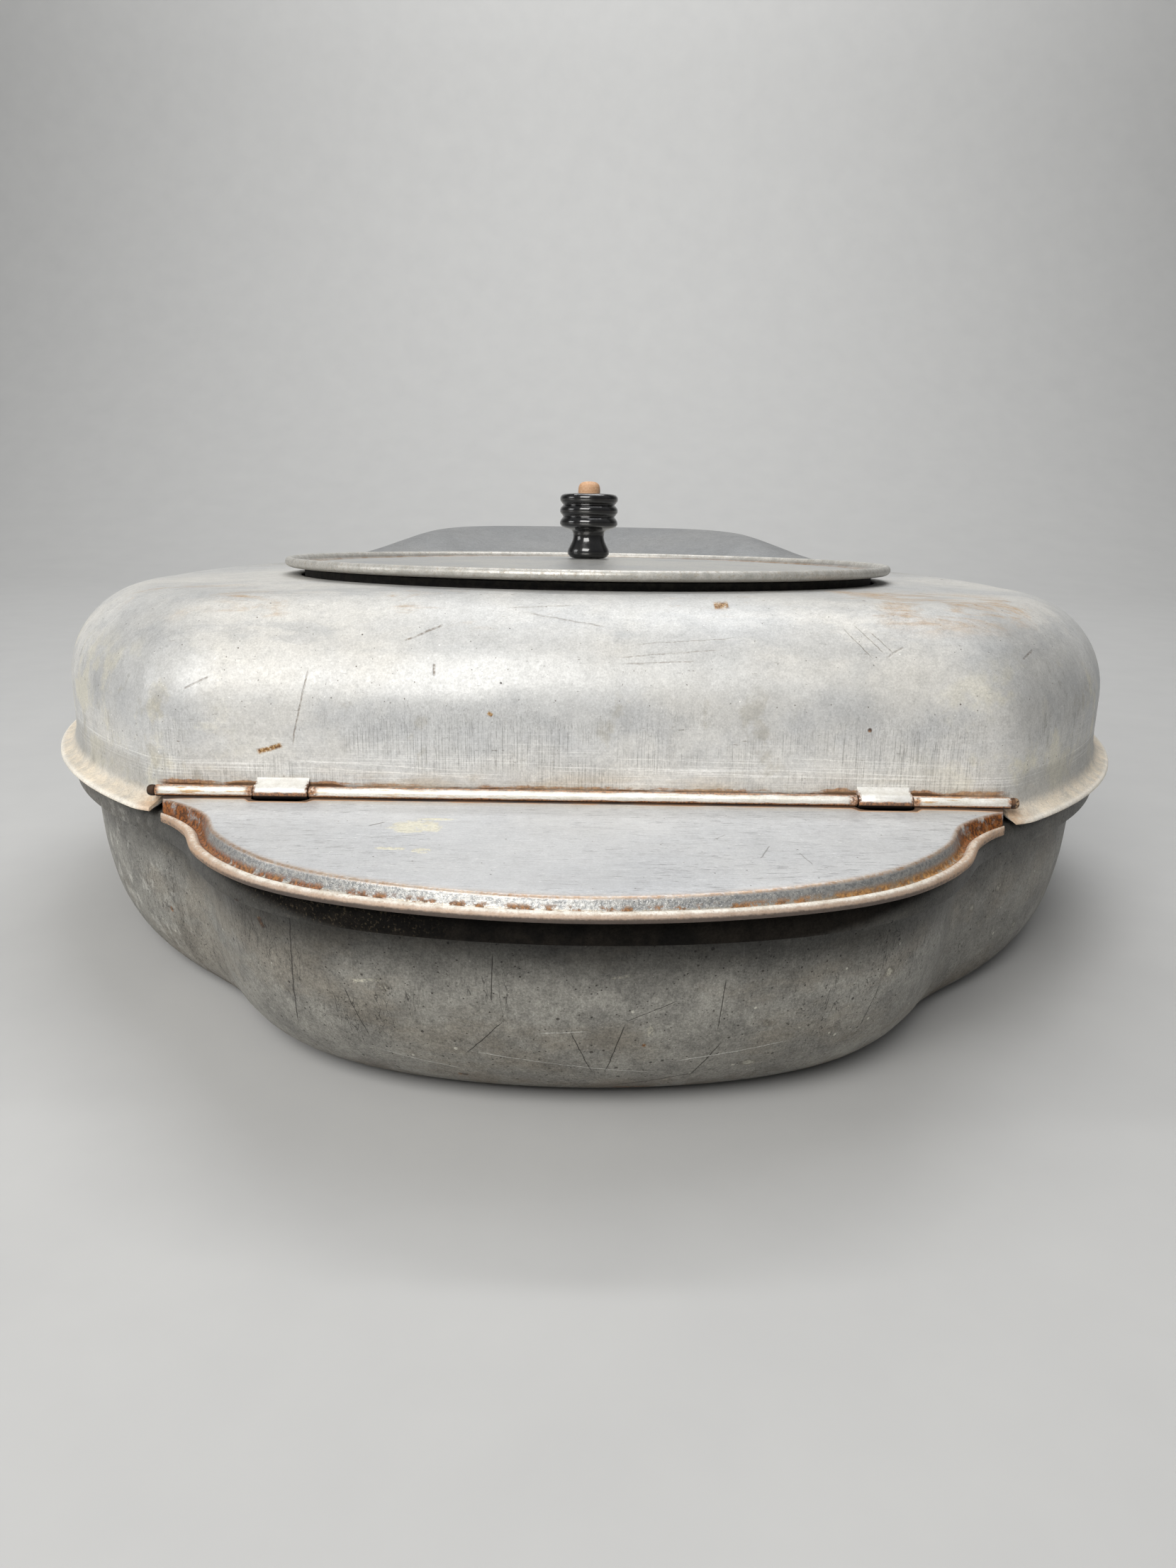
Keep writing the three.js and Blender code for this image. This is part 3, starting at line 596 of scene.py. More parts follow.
def plate_material():
    """Section tags: -2 to 5 lip, 5-7 groove, 7-9 pressed step, 10-14 panel, under -3 below."""
    x, y, z = begin("worn_plate_front")
    section = section_tag()
    big = noise((0.015, 0.015, 0.02), rough=0.6, shift=(1, 1, 1))
    level = noise((0.03, 2.2, 2.2), rough=0.75)
    fine = noise(0.9, rough=0.6)
    coat = mix(step(big, 0.35, 0.65), (0.565, 0.575, 0.59), (0.625, 0.63, 0.635))
    coat.paint(step(level, 0.55, 0.66), (0.8, 0.805, 0.81), amount=0.45)
    short = noise((0.15, 1.5, 1.5), detail=3, rough=0.7, shift=(4, 9, 2))
    share = step(noise((0.025, 0.025, 0.02), detail=3, rough=0.5, shift=(6, 1, 2)), 0.35, 0.6)
    darks = step(short, 0.565, 0.63) * (0.35 + share * 0.65)
    coat.paint(darks, (0.24, 0.24, 0.25), amount=0.62)
    flecks = step(noise((0.35, 1.8, 1.8), detail=3, rough=0.7, shift=(14, 2, 7)), 0.655, 0.7)
    coat.paint(flecks, (0.95, 0.95, 0.94), amount=0.8)
    pits = spots(0.35, size=0.13, keep=0.4, shift=(5, 3, 2))
    coat.paint(pits, (0.12, 0.11, 0.1), amount=0.8)
    bright = spots(0.06, size=0.05, keep=0.5, shift=(2.5, 3, 2)) * step(y, -190, -196)
    coat.paint(bright, (0.95, 0.94, 0.9))
    # yellowish crusted patch and its thin tail
    crust = noise(0.5, detail=5, rough=0.7, shift=(2, 2, 9))
    ragged = (noise(0.3, rough=0.7, shift=(1, 5, 2)) - 0.5) * 1.5

    def blotch(middle_x, middle_y, radius_x, radius_y):
        span_x = (x - middle_x) * (1 / radius_x)
        span_y = (y - middle_y) * (1 / radius_y)
        distance = (span_x ** 2.0 + span_y ** 2.0) ** 0.5
        return step(distance + ragged, 1.1, 0.8)

    on_panel = step(section, 9.8, 10.2)
    patch = highest(blotch(-51.5, -213, 8.5, 6), blotch(-46, -205.5, 6, 1.2))
    tail = highest(blotch(-56, -233, 5, 1.3), blotch(-46.5, -234.5, 2.8, 2.2))
    patch = highest(patch * step(crust, 0.32, 0.46), tail * step(crust, 0.42, 0.5)) * on_panel
    yellows = mix(step(fine, 0.4, 0.6), (0.72, 0.685, 0.52), (0.58, 0.54, 0.39))
    coat.paint(patch, yellows, amount=0.72)
    nicks = scratches(x, y, [
        (-66, -213, -62, -209.5, 0.5), (52, -236, 56, -226, 0.3, 0.7),
        (66, -241, 64, -232, 0.3, 0.6), (40, -221, 44, -216, 0.3, 0.5)])
    coat.paint(nicks * step(section, 9.8, 10.2), (0.14, 0.13, 0.12), amount=0.8)
    # pressed step, groove and lip
    coarse = noise(0.22, detail=5, shift=(3, 3, 7))
    medium = noise(0.9, shift=(8, 3, 2))
    small = noise(2.4, detail=3, rough=0.7, shift=(1, 3, 2))
    aside = absolute(x)
    ends = step(aside, 85, 130)
    left = step(x, -20, -95)
    right = step(x, 35, 80)
    step_wall = band(section, 6.6, 9.2, 0.4)
    wall = mix(step(medium, 0.38, 0.62), (0.2, 0.205, 0.205), (0.37, 0.365, 0.345))
    # painted glints on the pressed step
    wall.paint(step(small, 0.6, 0.66), (0.72, 0.72, 0.7), amount=0.75)
    coat.paint(step_wall, wall, amount=0.92)
    brow = mix(step(coarse, 0.4, 0.6), (0.5, 0.385, 0.28), (0.42, 0.27, 0.16))
    coat.paint(band(section, 9.15, 9.85, 0.22), brow,
               amount=0.45 + step(medium, 0.35, 0.6) * 0.45)
    groove = mix(step(medium, 0.4, 0.6), (0.47, 0.46, 0.42), (0.4, 0.33, 0.23))
    coat.paint(band(section, 4.9, 6.9, 0.4), groove, amount=0.8)
    heavy = ends * 0.16 + (left * 0.11 + right * 0.06)
    groove_rust = band(section, 4.5, 7.6, 0.6) * step(coarse + heavy, 0.51, 0.6)
    rusts = mix(step(medium, 0.42, 0.58), (0.28, 0.09, 0.016), (0.075, 0.026, 0.008))
    rusts.paint(step(small, 0.57, 0.66), (0.45, 0.21, 0.045), amount=0.5)
    coat.paint(groove_rust, rusts, amount=0.92)
    amber = (band(section, 5.0, 7.8, 0.6)
             * (step(coarse + right * 0.2, 0.5, 0.62) * highest(right, 0.5)))
    ambers = mix(step(medium, 0.4, 0.6), (0.48, 0.29, 0.1), (0.26, 0.13, 0.04))
    coat.paint(amber, ambers, amount=0.6)
    far = step(aside, 108, 124) * band(section, 4.2, 9.6, 0.6)
    coat.paint(far, rusts, amount=step(coarse, 0.34, 0.5))
    lip = step(section, 5.0, 4.5) * step(section, -2.6, -1.8)
    cream = mix(step(coarse, 0.42, 0.62), (0.8, 0.76, 0.68), (0.64, 0.58, 0.49))
    cream.paint(step(medium, 0.54, 0.68), (0.42, 0.3, 0.2), amount=0.55)
    cream.paint(step(small, 0.62, 0.7), (0.28, 0.15, 0.08), amount=0.5)
    # the low outer face of the lip is browner and its edge nearly black: painted shade where the
    # lip turns down
    cream.paint(step(section + (medium - 0.5) * 1.2, 2.1, 1.4), (0.33, 0.2, 0.12), amount=0.75)
    cream.paint(step(section + (medium - 0.5) * 0.6, 1.25, 0.75), (0.05, 0.03, 0.02), amount=0.9)
    cream.paint(step(aside, 88, 118), (0.5, 0.31, 0.18),
                amount=0.25 + step(medium, 0.4, 0.58) * 0.5)
    coat.paint(lip, cream, amount=0.94)
    # pale strip, rust line and dark seam in front of the tubes; the seam is partly rust, partly
    # painted shade under the tubes and in their notches
    strip = step(y, -192.5, -189.5) * step(section, 9.9, 10.2)
    coat.paint(strip, (0.62, 0.58, 0.52), amount=0.55)
    notch_y = y + highest(band(aside, 90.5, 111.5, 1.5), 0.0) * 2.6
    creep = noise((0.06, 0.3, 0.3), shift=(1, 4, 3))
    near = step(notch_y, -188.6, -187.6) * step(section, 9.9, 10.2)
    orange = near * step(creep + band(aside, 80, 122, 6) * 0.2, 0.42, 0.58)
    coat.paint(orange, (0.56, 0.27, 0.09), amount=0.75)
    # painted shade with some rust: the panel's edge under the tubes and in their notches near
    # black
    seam = step(notch_y, -187.5, -186.9) * step(section, 9.9, 10.2)
    coat.paint(seam, (0.045, 0.022, 0.012), amount=0.85)
    coat.grain(depth=0.2, seed=5)
    below = mix(step(coarse, 0.4, 0.6), (0.2, 0.18, 0.15), (0.32, 0.3, 0.26))
    coat.paint(step(section, -3.0, -4.0), below)
    rusted = highest(groove_rust, orange, lip * 0.6, far * 0.7)
    height = level * 0.08 + fine * 0.05
    height = height + medium * highest(lip, groove_rust, step_wall) * 0.7
    height = height - highest(pits, darks * 0.4) * 0.5
    height = height + patch * (crust * 0.5)
    dents = noise((0.02, 0.03, 0.03), detail=2, rough=0.5, shift=(5, 1, 5))
    return finish(
        Base_Color=coat, Roughness=0.42 + (fine - 0.5) * 0.2 + rusted * 0.28,
        Metallic=0.6 - highest(rusted, patch) * 0.5,
        Normal=relief(dents, depth=4.0, strength=0.3,
                      over=relief(height, depth=0.3, strength=0.8)))


def tub_material():
    """Section tags: 0 floor, 1-3 outer wall, 3-5 rolled rim, from 6 inside."""
    x, y, z = begin("dull_pewter_tub")
    section = section_tag()
    big = noise((0.014, 0.014, 0.03), rough=0.6, shift=(2, 4, 4))
    mid = noise(0.06, detail=5, shift=(9, 2, 9))
    fine = noise(1.1)
    upright = noise((2.0, 2.0, 0.03), rough=0.75, shift=(3, 1, 2))
    level = noise((0.02, 0.02, 2.0), rough=0.75)
    coat = mix(step(big, 0.35, 0.65), (0.265, 0.256, 0.229), (0.335, 0.325, 0.292))
    coat.paint(step(mid, 0.46, 0.62), (0.185, 0.18, 0.165), amount=0.55)
    coat.paint(step(upright, 0.55, 0.7), (0.4, 0.395, 0.365), amount=0.4)
    coat.paint(step(upright, 0.45, 0.32), (0.12, 0.117, 0.105), amount=0.35)
    coat.paint(step(level, 0.6, 0.72), (0.42, 0.415, 0.39), amount=0.3)
    # broad brown-grey haze
    haze = step(noise((0.02, 0.02, 0.045), detail=5, shift=(1, 14, 4)), 0.46, 0.64)
    coat.paint(haze, (0.24, 0.2, 0.145), amount=0.35)
    # pale worn dabs, thickest on the left
    sides = step(x, -125, -165) * 0.85 + step(x, 165, 190) * 0.25
    dabs = step(noise((0.13, 0.13, 0.12), detail=5, shift=(5, 5, 5)), 0.5, 0.64) * sides
    coat.paint(dabs, (0.52, 0.51, 0.46), amount=0.6)
    # loose scatter of worn-through pale spots with dark edges
    distance, _ = cells((0.05, 0.05, 0.07), shift=(4, 1, 2))

    def ragged_distance():
        return distance + (noise(0.5, rough=0.7, shift=(6, 2, 1)) - 0.5) * 0.3

    def worn_region():
        return step(noise(0.02, detail=2, rough=0.5, shift=(2, 9, 9)), 0.45, 0.5)

    worn = step(ragged_distance(), 0.11, 0.05) * worn_region()
    edges = band(ragged_distance(), 0.06, 0.13, 0.02) * worn_region()
    coat.paint(edges, (0.1, 0.08, 0.06), amount=0.4)
    coat.paint(worn, (0.52, 0.5, 0.42), amount=0.55)
    flecks = highest(spots(0.16, size=0.13, keep=0.45, shift=(1, 7, 3)),
                     spots(0.45, size=0.12, keep=0.3, shift=(3, 2, 3)))
    coat.paint(flecks, (0.66, 0.64, 0.56), amount=0.75)
    # dark pits, hair cracks, dark spread and brown spots
    pits = highest(spots(0.3, size=0.2, keep=0.6, shift=(2, 8, 1)),
                   spots(0.7, size=0.26, keep=0.7, shift=(0, 3, 6)))
    coat.paint(pits, (0.04, 0.034, 0.028), amount=0.8)
    crack_cloud = noise((0.22, 0.22, 0.045), detail=3, rough=0.6, shift=(11, 2, 5), distort=0.6)
    where = step(noise(0.03, detail=2, rough=0.5, shift=(6, 1, 8)), 0.5, 0.58)
    cracks = contour(crack_cloud, 0.008, 0.003) * where
    spread = step(noise((0.5, 0.5, 0.3), detail=5, rough=0.75, shift=(1, 2, 5)), 0.62, 0.7)
    spread = spread * step(
        noise((0.04, 0.04, 0.02), detail=3, rough=0.5, shift=(16, 1, 8)), 0.56, 0.64)
    coat.paint(highest(cracks, spread * 0.8), (0.06, 0.055, 0.05), amount=0.75)
    coat.rust(spots(0.05, size=0.085, keep=0.6, shift=(2.6, 0.2, 0.4)), amount=0.85, seed=5)
    # dark and pale marks, chips and ochre spots on the front
    front = step(y, -190, -225)
    marks = scratches(x, z, [
        (-84, 62, -86, 24, 0.26), (-68, 42, -62, 26, 0.18), (41, 50, 40, 34, 0.17),
        (41, 28, 33, 14, 0.26), (13, 36, 8, 18, 0.22), (34, 15, 8, 8, 0.26),
        (90, 40, 86, 26, 0.18), (-22, 36, -32, 24, 0.22), (27, 44, 14, 38, 0.18),
        (-24, 58, -24.5, 44, 0.18), (-2, 33, 4, 18, 0.18),
    ]) * front
    coat.paint(marks, (0.04, 0.035, 0.03), amount=0.85)
    pale = scratches(x, z, [
        (-28, 24, 20, 17, 0.17), (-10, 33, 2, 34, 0.15), (-58, 20, -36, 16, 0.15),
        (30, 22, 60, 26, 0.2),
    ]) * front
    coat.paint(pale, (0.66, 0.65, 0.61), amount=0.85)
    chips = scratches(x, z, [
        (20.5, 36, 20.6, 32, 1.1), (93, 45, 93.4, 42, 0.9), (9, 52, 14, 53, 0.5),
        (-66, 45, -56, 47, 0.8),
    ]) * front
    chips = chips * step(noise(1.1, rough=0.7, shift=(4, 4, 4)), 0.46, 0.54)
    coat.paint(chips, (0.62, 0.59, 0.48), amount=0.6)
    ochre = scratches(x, z, [
        (11, 6, 22, 5.5, 1.6), (-96, 58, -94, 55, 1.2), (-100, 66, -99, 63, 1.0),
        (-36, 12, -33, 12, 0.9),
    ]) * front
    coat.rust(ochre, amount=0.8, seed=12)
    # brown smear near the floor; painted shade darkens the tub towards the floor and towards the
    # right
    smear = step(z, 17, 3) * step(mid, 0.4, 0.58)
    coat.paint(smear, (0.15, 0.105, 0.065), amount=0.6)
    coat.shade(1.0 - step(z, 14, 2) * 0.5)
    coat.shade(1.0 - step(x, 60, 200) * 0.22)
    # painted shadow under the rim and the plate's lip: a soft painted shade up to z 61, then a
    # near-black band, lower in the middle of the front
    aside = absolute(x)
    lower_front = step(y, -160, -190) * step(section, 5.4, 4.9)
    wander = (noise(0.07, rough=0.6, shift=(3, 3, 1)) - 0.5) * 5.0
    soft = step(z + wander, 43, 61)
    coat.shade(1.0 - soft * step(section, 5.4, 4.9) * (0.45 + lower_front * 0.3))
    thin = step(aside, 50, 125) * 9.0
    rim = step(z + wander * 0.5 - thin, 60.5, 66) * step(section, 5.4, 4.9)
    rim_shadow_colour = mix(step(mid, 0.42, 0.6), (0.005, 0.0045, 0.004), (0.012, 0.01, 0.008))
    rim_shadow_colour.paint(step(x, -25, -60) * step(fine, 0.54, 0.66) * step(section, 4.2, 4.4),
                     (0.045, 0.036, 0.024))
    # the painted shadow is full at the front and faint round the sides and back
    painted_rim_shadow = rim * (0.3 + step(y, -60, -205) * step(aside, 128, 92) * 0.69)
    coat.paint(painted_rim_shadow, rim_shadow_colour)
    coat.grain(depth=0.8, seed=7)
    # inside, with a brown line round the wall at half height
    inside = step(section, 5.5, 6.0)
    line = inside * step(absolute(z + (mid - 0.5) * 3 - 48), 1.4, 0.3)
    greys = mix(step(mid, 0.38, 0.62), (0.33, 0.32, 0.29), (0.42, 0.4, 0.35))
    coat.paint(inside, greys.grain(depth=0.3, seed=9))
    coat.paint(line, (0.24, 0.19, 0.12), amount=0.6)
    height = upright * 0.1 + fine * 0.22 + level * 0.05
    height = height - highest(pits, marks, cracks * 0.6) * 0.5
    height = height + highest(flecks, pale) * 0.2
    dents = noise((0.02, 0.02, 0.03), detail=2, rough=0.5, shift=(5, 9, 5))
    return finish(
        Base_Color=coat, Roughness=0.5 + (fine - 0.5) * 0.3 + highest(smear, rim) * 0.2,
        Metallic=0.5 - highest(dabs, smear, rim) * 0.5,
        Normal=relief(dents, depth=6.0, strength=0.3,
                      over=relief(height, depth=0.3, strength=0.9)),
        Specular_IOR_Level=0.5 - painted_rim_shadow * 0.45)


def tube_material():
    x, y, z = begin("worn_hinge_tube")
    aside = absolute(x)
    streaky = noise((0.1, 0.5, 0.5), detail=5)
    fine = noise(1.2)
    small = noise((0.5, 2.4, 2.4), detail=3, rough=0.7, shift=(3, 1, 1))
    above = z - HINGE_Z
    coat = mix(step(streaky, 0.4, 0.66), (0.86, 0.85, 0.8), (0.74, 0.71, 0.63))
    coat.paint(step(small, 0.6, 0.7), (0.45, 0.3, 0.17), amount=0.55)
    outer = highest(step(aside, 108, 112), step(x, 20, -30) * 0.5)
    streaks = step(noise((0.09, 0.6, 0.6), shift=(13, 2, 8)), 0.52, 0.62) * outer
    coat.paint(streaks, (0.58, 0.33, 0.12), amount=0.8)
    # rust below, on top and at the tube ends
    low = step(above + (streaky - 0.5) * 1.6, -0.35, -0.9)
    top = step(above + streaky * 0.8, 2.05, 2.35)
    ends = highest(band(aside, 88.8, 93.2, 1.0), band(aside, 108.8, 112.6, 1.0),
                   step(aside, 141.0, 142.6))
    ends = ends * step(fine + streaky, 0.75, 1.05)
    rusted = highest(low * 0.95, ends * 0.9, top * 0.8)
    coat.paint(rusted, mix(step(fine, 0.42, 0.6), (0.48, 0.2, 0.06), (0.12, 0.05, 0.02)))
    # painted shade: the underside of the tube near black
    coat.paint(step(above + (fine - 0.5) * 0.5, -1.0, -1.45), (0.02, 0.01, 0.006))
    height = fine * 0.3 + rusted * fine * 0.6
    return finish(Base_Color=coat.grain(depth=0.2, seed=1), Roughness=0.42 + rusted * 0.3,
                  Metallic=0.35 - rusted * 0.3, Normal=relief(height, depth=0.25, strength=0.8))


def tab_material():
    x, y, z = begin("bright_worn_tab")
    coarse = noise(0.3, detail=5, shift=(1, 1, 2))
    fine = noise(1.3)
    aside = absolute(x)
    above = z - HINGE_Z
    coat = mix(step(coarse, 0.4, 0.65), (0.84, 0.83, 0.79), (0.74, 0.72, 0.67))
    upright = noise((1.7, 1.7, 0.05), rough=0.7)
    coat.paint(step(upright, 0.6, 0.74), (0.5, 0.49, 0.46), amount=0.3)
    ends = highest(step(aside, 93.2, 92.2), step(aside, 108.8, 109.8)) * step(above, 3.9, 2.4)
    low = step(above + coarse * 1.4, 1.5, 0.9)
    rusted = highest(ends * step(fine, 0.38, 0.55), low * 0.9)
    coat.paint(rusted, mix(step(fine, 0.42, 0.6), (0.42, 0.17, 0.05), (0.1, 0.04, 0.016)))
    # painted shade: the underside of the tongue near black
    coat.paint(step(above + fine * 0.5, -0.15, -0.8), (0.012, 0.007, 0.005))
    height = fine * 0.2 + rusted * fine * 0.6
    return finish(Base_Color=coat.grain(depth=0.15, seed=4), Roughness=0.4 + rusted * 0.35,
                  Metallic=0.3 - rusted * 0.3, Normal=relief(height, depth=0.25, strength=0.8))


def lid_material():
    """Section tags: 0-2.2 top and groove, 2.4-4 outer bead, 6 underside."""
    x, y, z = begin("worn_plate_lid")
    section = section_tag()
    radius = (x * x + y * y) ** 0.5
    angle = math_node("ARCTAN2", y, x)
    polar = wire("ShaderNodeCombineXYZ", {0: radius * 1.0, 1: angle * 6.0})
    rings = noise((1.8, 0.5, 1.0), detail=3, space=polar)
    big = noise(0.018, rough=0.6, shift=(4, 0, 3))
    fine = noise(0.8, rough=0.6)
    coat = mix(step(big, 0.36, 0.62), (0.42, 0.425, 0.425), (0.52, 0.51, 0.475))
    coat.paint(step(rings, 0.56, 0.68), (0.3, 0.295, 0.28), amount=0.4)
    hairs = noise((0.05, 1.8, 1.8), rough=0.75, shift=(7, 2, 2))
    coat.paint(step(hairs, 0.6, 0.72), (0.74, 0.735, 0.71), amount=0.45)
    pits = spots(0.25, size=0.15, keep=0.5, shift=(5, 1, 2))
    coat.paint(pits, (0.1, 0.085, 0.07), amount=0.8)
    coarse = noise(0.2, detail=5, shift=(1, 3, 7))
    medium = noise(0.9, shift=(2, 3, 2))
    small = noise(2.2, detail=3, rough=0.7, shift=(2, 9, 2))
    # brown groove, heavier towards the back, and a worn cream bead
    groove = band(radius, 131.0, 136.6, 0.8)
    coat.paint(groove * step(section, 4.0, 3.5), (0.24, 0.15, 0.08),
               amount=0.35 + step(y, 20, 90) * 0.25 + step(coarse, 0.4, 0.6) * 0.4)
    bead = step(radius, 136.4, 137.2) * step(section, 5.6, 5.0)
    cream = mix(step(coarse, 0.4, 0.62), (0.56, 0.545, 0.505), (0.43, 0.42, 0.385))
    speckle = step(medium, 0.52, 0.66) * 0.6
    cream.paint(speckle, (0.36, 0.3, 0.22))
    cream.paint(step(small, 0.6, 0.68), (0.24, 0.16, 0.1), amount=0.6)
    coat.paint(bead, cream, amount=0.9)
    # painted shade: the bead's lower outer face painted dark
    darks = mix(step(coarse, 0.4, 0.6), (0.12, 0.1, 0.08), (0.25, 0.22, 0.18))
    coat.paint(step(section, 3.2, 3.6) * step(section, 5.6, 5.0), darks, amount=0.85)
    coat.grain(depth=0.22, seed=11)
    height = rings * 0.05 + (fine * 0.06 + bead * medium * 0.5)
    return finish(
        Base_Color=coat, Roughness=0.36 + (fine - 0.5) * 0.22 + bead * speckle * 0.4,
        Metallic=0.7 - highest(groove * 0.5, bead * 0.4) * 0.9,
        Normal=relief(height - pits * 0.4, depth=0.3, strength=0.75))


def collar_material():
    begin("shadow_black_collar")
    coarse = noise(0.3, detail=5)
    rings = noise((0.1, 0.1, 2.0), rough=0.7, shift=(3, 3, 3))
    # painted shadow: near-black colour standing in for the deep shade in the gap under the lid
    coat = mix(step(coarse, 0.4, 0.62), (0.016, 0.015, 0.014), (0.04, 0.036, 0.031))
    coat.paint(step(rings, 0.6, 0.72), (0.07, 0.062, 0.05), amount=0.4)
    return finish(Base_Color=coat, Roughness=0.7 + coarse * 0.2, Metallic=0.2,
                  Normal=relief(coarse, depth=0.2, strength=0.7))


def iron_material(name, warmth):
    x, y, z = begin(name)
    coarse = noise(0.35, detail=5)
    fine = noise(1.6, shift=(3, 3, 3))
    coat = mix(step(coarse, 0.4, 0.62), (0.05, 0.032, 0.024), (0.15, 0.075, 0.035))
    coat.paint(step(fine, 0.6, 0.72), (0.33, 0.17, 0.07), amount=warmth)
    coat.shade(0.45 + step(x, -100, 100) * 0.55)
    # the pin's right-hand head is rubbed brighter
    coat.paint(step(x, 144.0, 145.0), (0.45, 0.3, 0.18), amount=step(fine, 0.4, 0.55))
    return finish(Base_Color=coat, Roughness=0.6 + fine * 0.25, Metallic=0.35,
                  Normal=relief(fine * 0.7 + coarse * 0.3, depth=0.3, strength=0.9))


def knob_material():
    begin("gloss_black_knob")
    coarse = noise(0.25, rough=0.6)
    fine = noise(1.8, shift=(2, 2, 1))
    turning = noise((0.2, 0.2, 3.2), detail=3, rough=0.6, shift=(1, 0, 5))
    coat = mix(step(coarse, 0.4, 0.7), (0.003, 0.003, 0.0033), (0.008, 0.0075, 0.007))
    dust = step(fine, 0.64, 0.76) * 0.25
    coat.paint(dust, (0.07, 0.065, 0.055))
    return finish(Base_Color=coat, Roughness=0.16 + step(coarse, 0.45, 0.7) * 0.1 + dust * 0.5,
                  Metallic=0.0, Coat_Weight=0.7, Coat_Roughness=0.06,
                  Normal=relief(turning * 0.5 + fine * 0.3, depth=0.06, strength=0.5))


def wood_material():
    begin("worn_wood_plug")
    rings = wire("ShaderNodeTexWave", {
        "Vector": stretch(move(position, (6, 0, 0)), (0.5, 0.16, 0.5)),
        "Scale": 0.9, "Distortion": 2.2, "Detail": 3.0}, output="Fac", wave_type="RINGS")
    fibres = noise((1.5, 0.25, 1.5), detail=5)
    cloud = noise(0.3, detail=3, rough=0.6)
    coat = mix(rings, (0.66, 0.41, 0.24), (0.5, 0.27, 0.14))
    coat.paint(step(fibres, 0.5, 0.7), (0.8, 0.6, 0.42), amount=0.6)
    coat.paint(step(cloud, 0.52, 0.7), (0.7, 0.48, 0.32), amount=0.4)
    coat.paint(step(fibres, 0.42, 0.32), (0.3, 0.14, 0.07), amount=0.5)
    return finish(Base_Color=coat, Roughness=0.45 + fibres * 0.25, Metallic=0.0,
                  Normal=relief(fibres, depth=0.15, strength=0.8))


def sheet_material(name, dark, pale):
    """Dull sheet steel with tide marks and a little rust."""
    begin(name)
    big = noise(0.03, rough=0.6, shift=(8, 8, 1))
    fine = noise(1.0, rough=0.6)
    tide = contour(noise(0.02, detail=3, rough=0.6, shift=(3, 1, 1)), 0.02, 0.004)
    hairs = noise((0.04, 1.4, 1.4), rough=0.7)
    coat = mix(step(big, 0.38, 0.62), dark, pale)
    coat.paint(tide, (0.62, 0.58, 0.48), amount=0.5)
    coat.paint(step(hairs, 0.62, 0.74), (0.68, 0.67, 0.64), amount=0.4)
    pits = spots(0.3, size=0.15, keep=0.4, shift=(3, 1, 2))
    patches = step(noise(0.08, rough=0.6, shift=(9, 9, 1)), 0.62, 0.7)
    coat.rust(highest(pits, patches * 0.7), amount=0.7, seed=3)
    height = hairs * 0.06 + fine * 0.1 - pits * 0.4
    return finish(Base_Color=coat, Roughness=0.4 + (fine - 0.5) * 0.3, Metallic=0.75,
                  Normal=relief(height, depth=0.25, strength=0.7))


def floor_material():
    begin("pale_floor")
    coat = mix(noise(0.02, rough=0.6), (0.44, 0.44, 0.435), (0.49, 0.49, 0.48))
    return finish(Base_Color=coat, Roughness=0.75, Metallic=0.0)


COVER, PLATE, TUB = cover_material(), plate_material(), tub_material()
TUBE, TAB, LID = tube_material(), tab_material(), lid_material()
WIRE_IRON = iron_material("rusted_wire", warmth=0.6)
PIN_IRON = iron_material("rusted_pin", warmth=0.35)
KNOB, WOOD, COLLAR = knob_material(), wood_material(), collar_material()
SHELF = sheet_material("water_marked_sheet", dark=(0.4, 0.395, 0.375), pale=(0.5, 0.485, 0.45))
STEEL = sheet_material("dull_fastener_steel", dark=(0.36, 0.355, 0.34), pale=(0.47, 0.46, 0.43))

# --------------------------------------------------------------------- tub
TUB_LOBE = 35.0  # swelling at the rim
FLOOR_R, FLOOR_LOBE = 100.0, 9.0  # inner ring of the flat floor
# Radius, swelling, height, tag: up the outside, over the rolled rim, down the inside.
TUB_PROFILE = spline([
    (198, 19, 0, 0), (202.5, 21.2, 0.35, 0.1), (206, 23, 1.4, 0.2), (209.6, 24.1, 3.1, 0.4),
    (212.5, 25, 5.2, 0.6), (217, 27.5, 11.5, 1), (221.2, 30.5, 22, 1.5), (224, 33, 38, 2),
    (225, 34.5, 55, 2.5), (225.2, 35, 67, 3), (226.1, 35, 71, 3.2), (228, 35, 72.9, 3.4),
    (230, 35, 73.1, 3.6), (231.1, 35, 71.9, 3.8), (231.4, 35, 69, 4), (231.4, 35, 65.9, 4.2),
    (231.7, 35, 65.6, 4.3), (232.1, 35, 65.6, 4.4), (232.4, 35, 65.9, 4.5),
    (232.5, 35, 71.2, 4.6), (231.8, 35, 73.3, 4.7), (230, 35, 74.4, 4.8),
    (227.4, 35, 74.2, 4.9), (225, 35, 72.2, 5), (224, 35, 68, 5.9),
    (225 - TUB_WALL, 34.5, 55, 6.2), (224 - TUB_WALL, 33, 38, 6.4),
    (221.2 - TUB_WALL, 30.5, 22.2, 6.6), (216.3 - TUB_WALL, 27.5, 12.4, 6.8),
    (211.8 - TUB_WALL, 25, 6.4, 6.9), (205.7 - TUB_WALL, 23, 2.7, 7), (198, 19, TUB_WALL, 7.1),
], 3)


def tub_section(phi):
    swelling = tub_swelling(phi)
    floor_r = FLOOR_R + FLOOR_LOBE * swelling
    wall = [(r + out * swelling, max(0.0, z), tag) for r, out, z, tag in TUB_PROFILE]
    return ([(0, 0.0, 0.0), (floor_r, 0.0, 0.0)] + wall
            + [(floor_r, TUB_WALL, 7.1), (0, TUB_WALL, 7.1)])


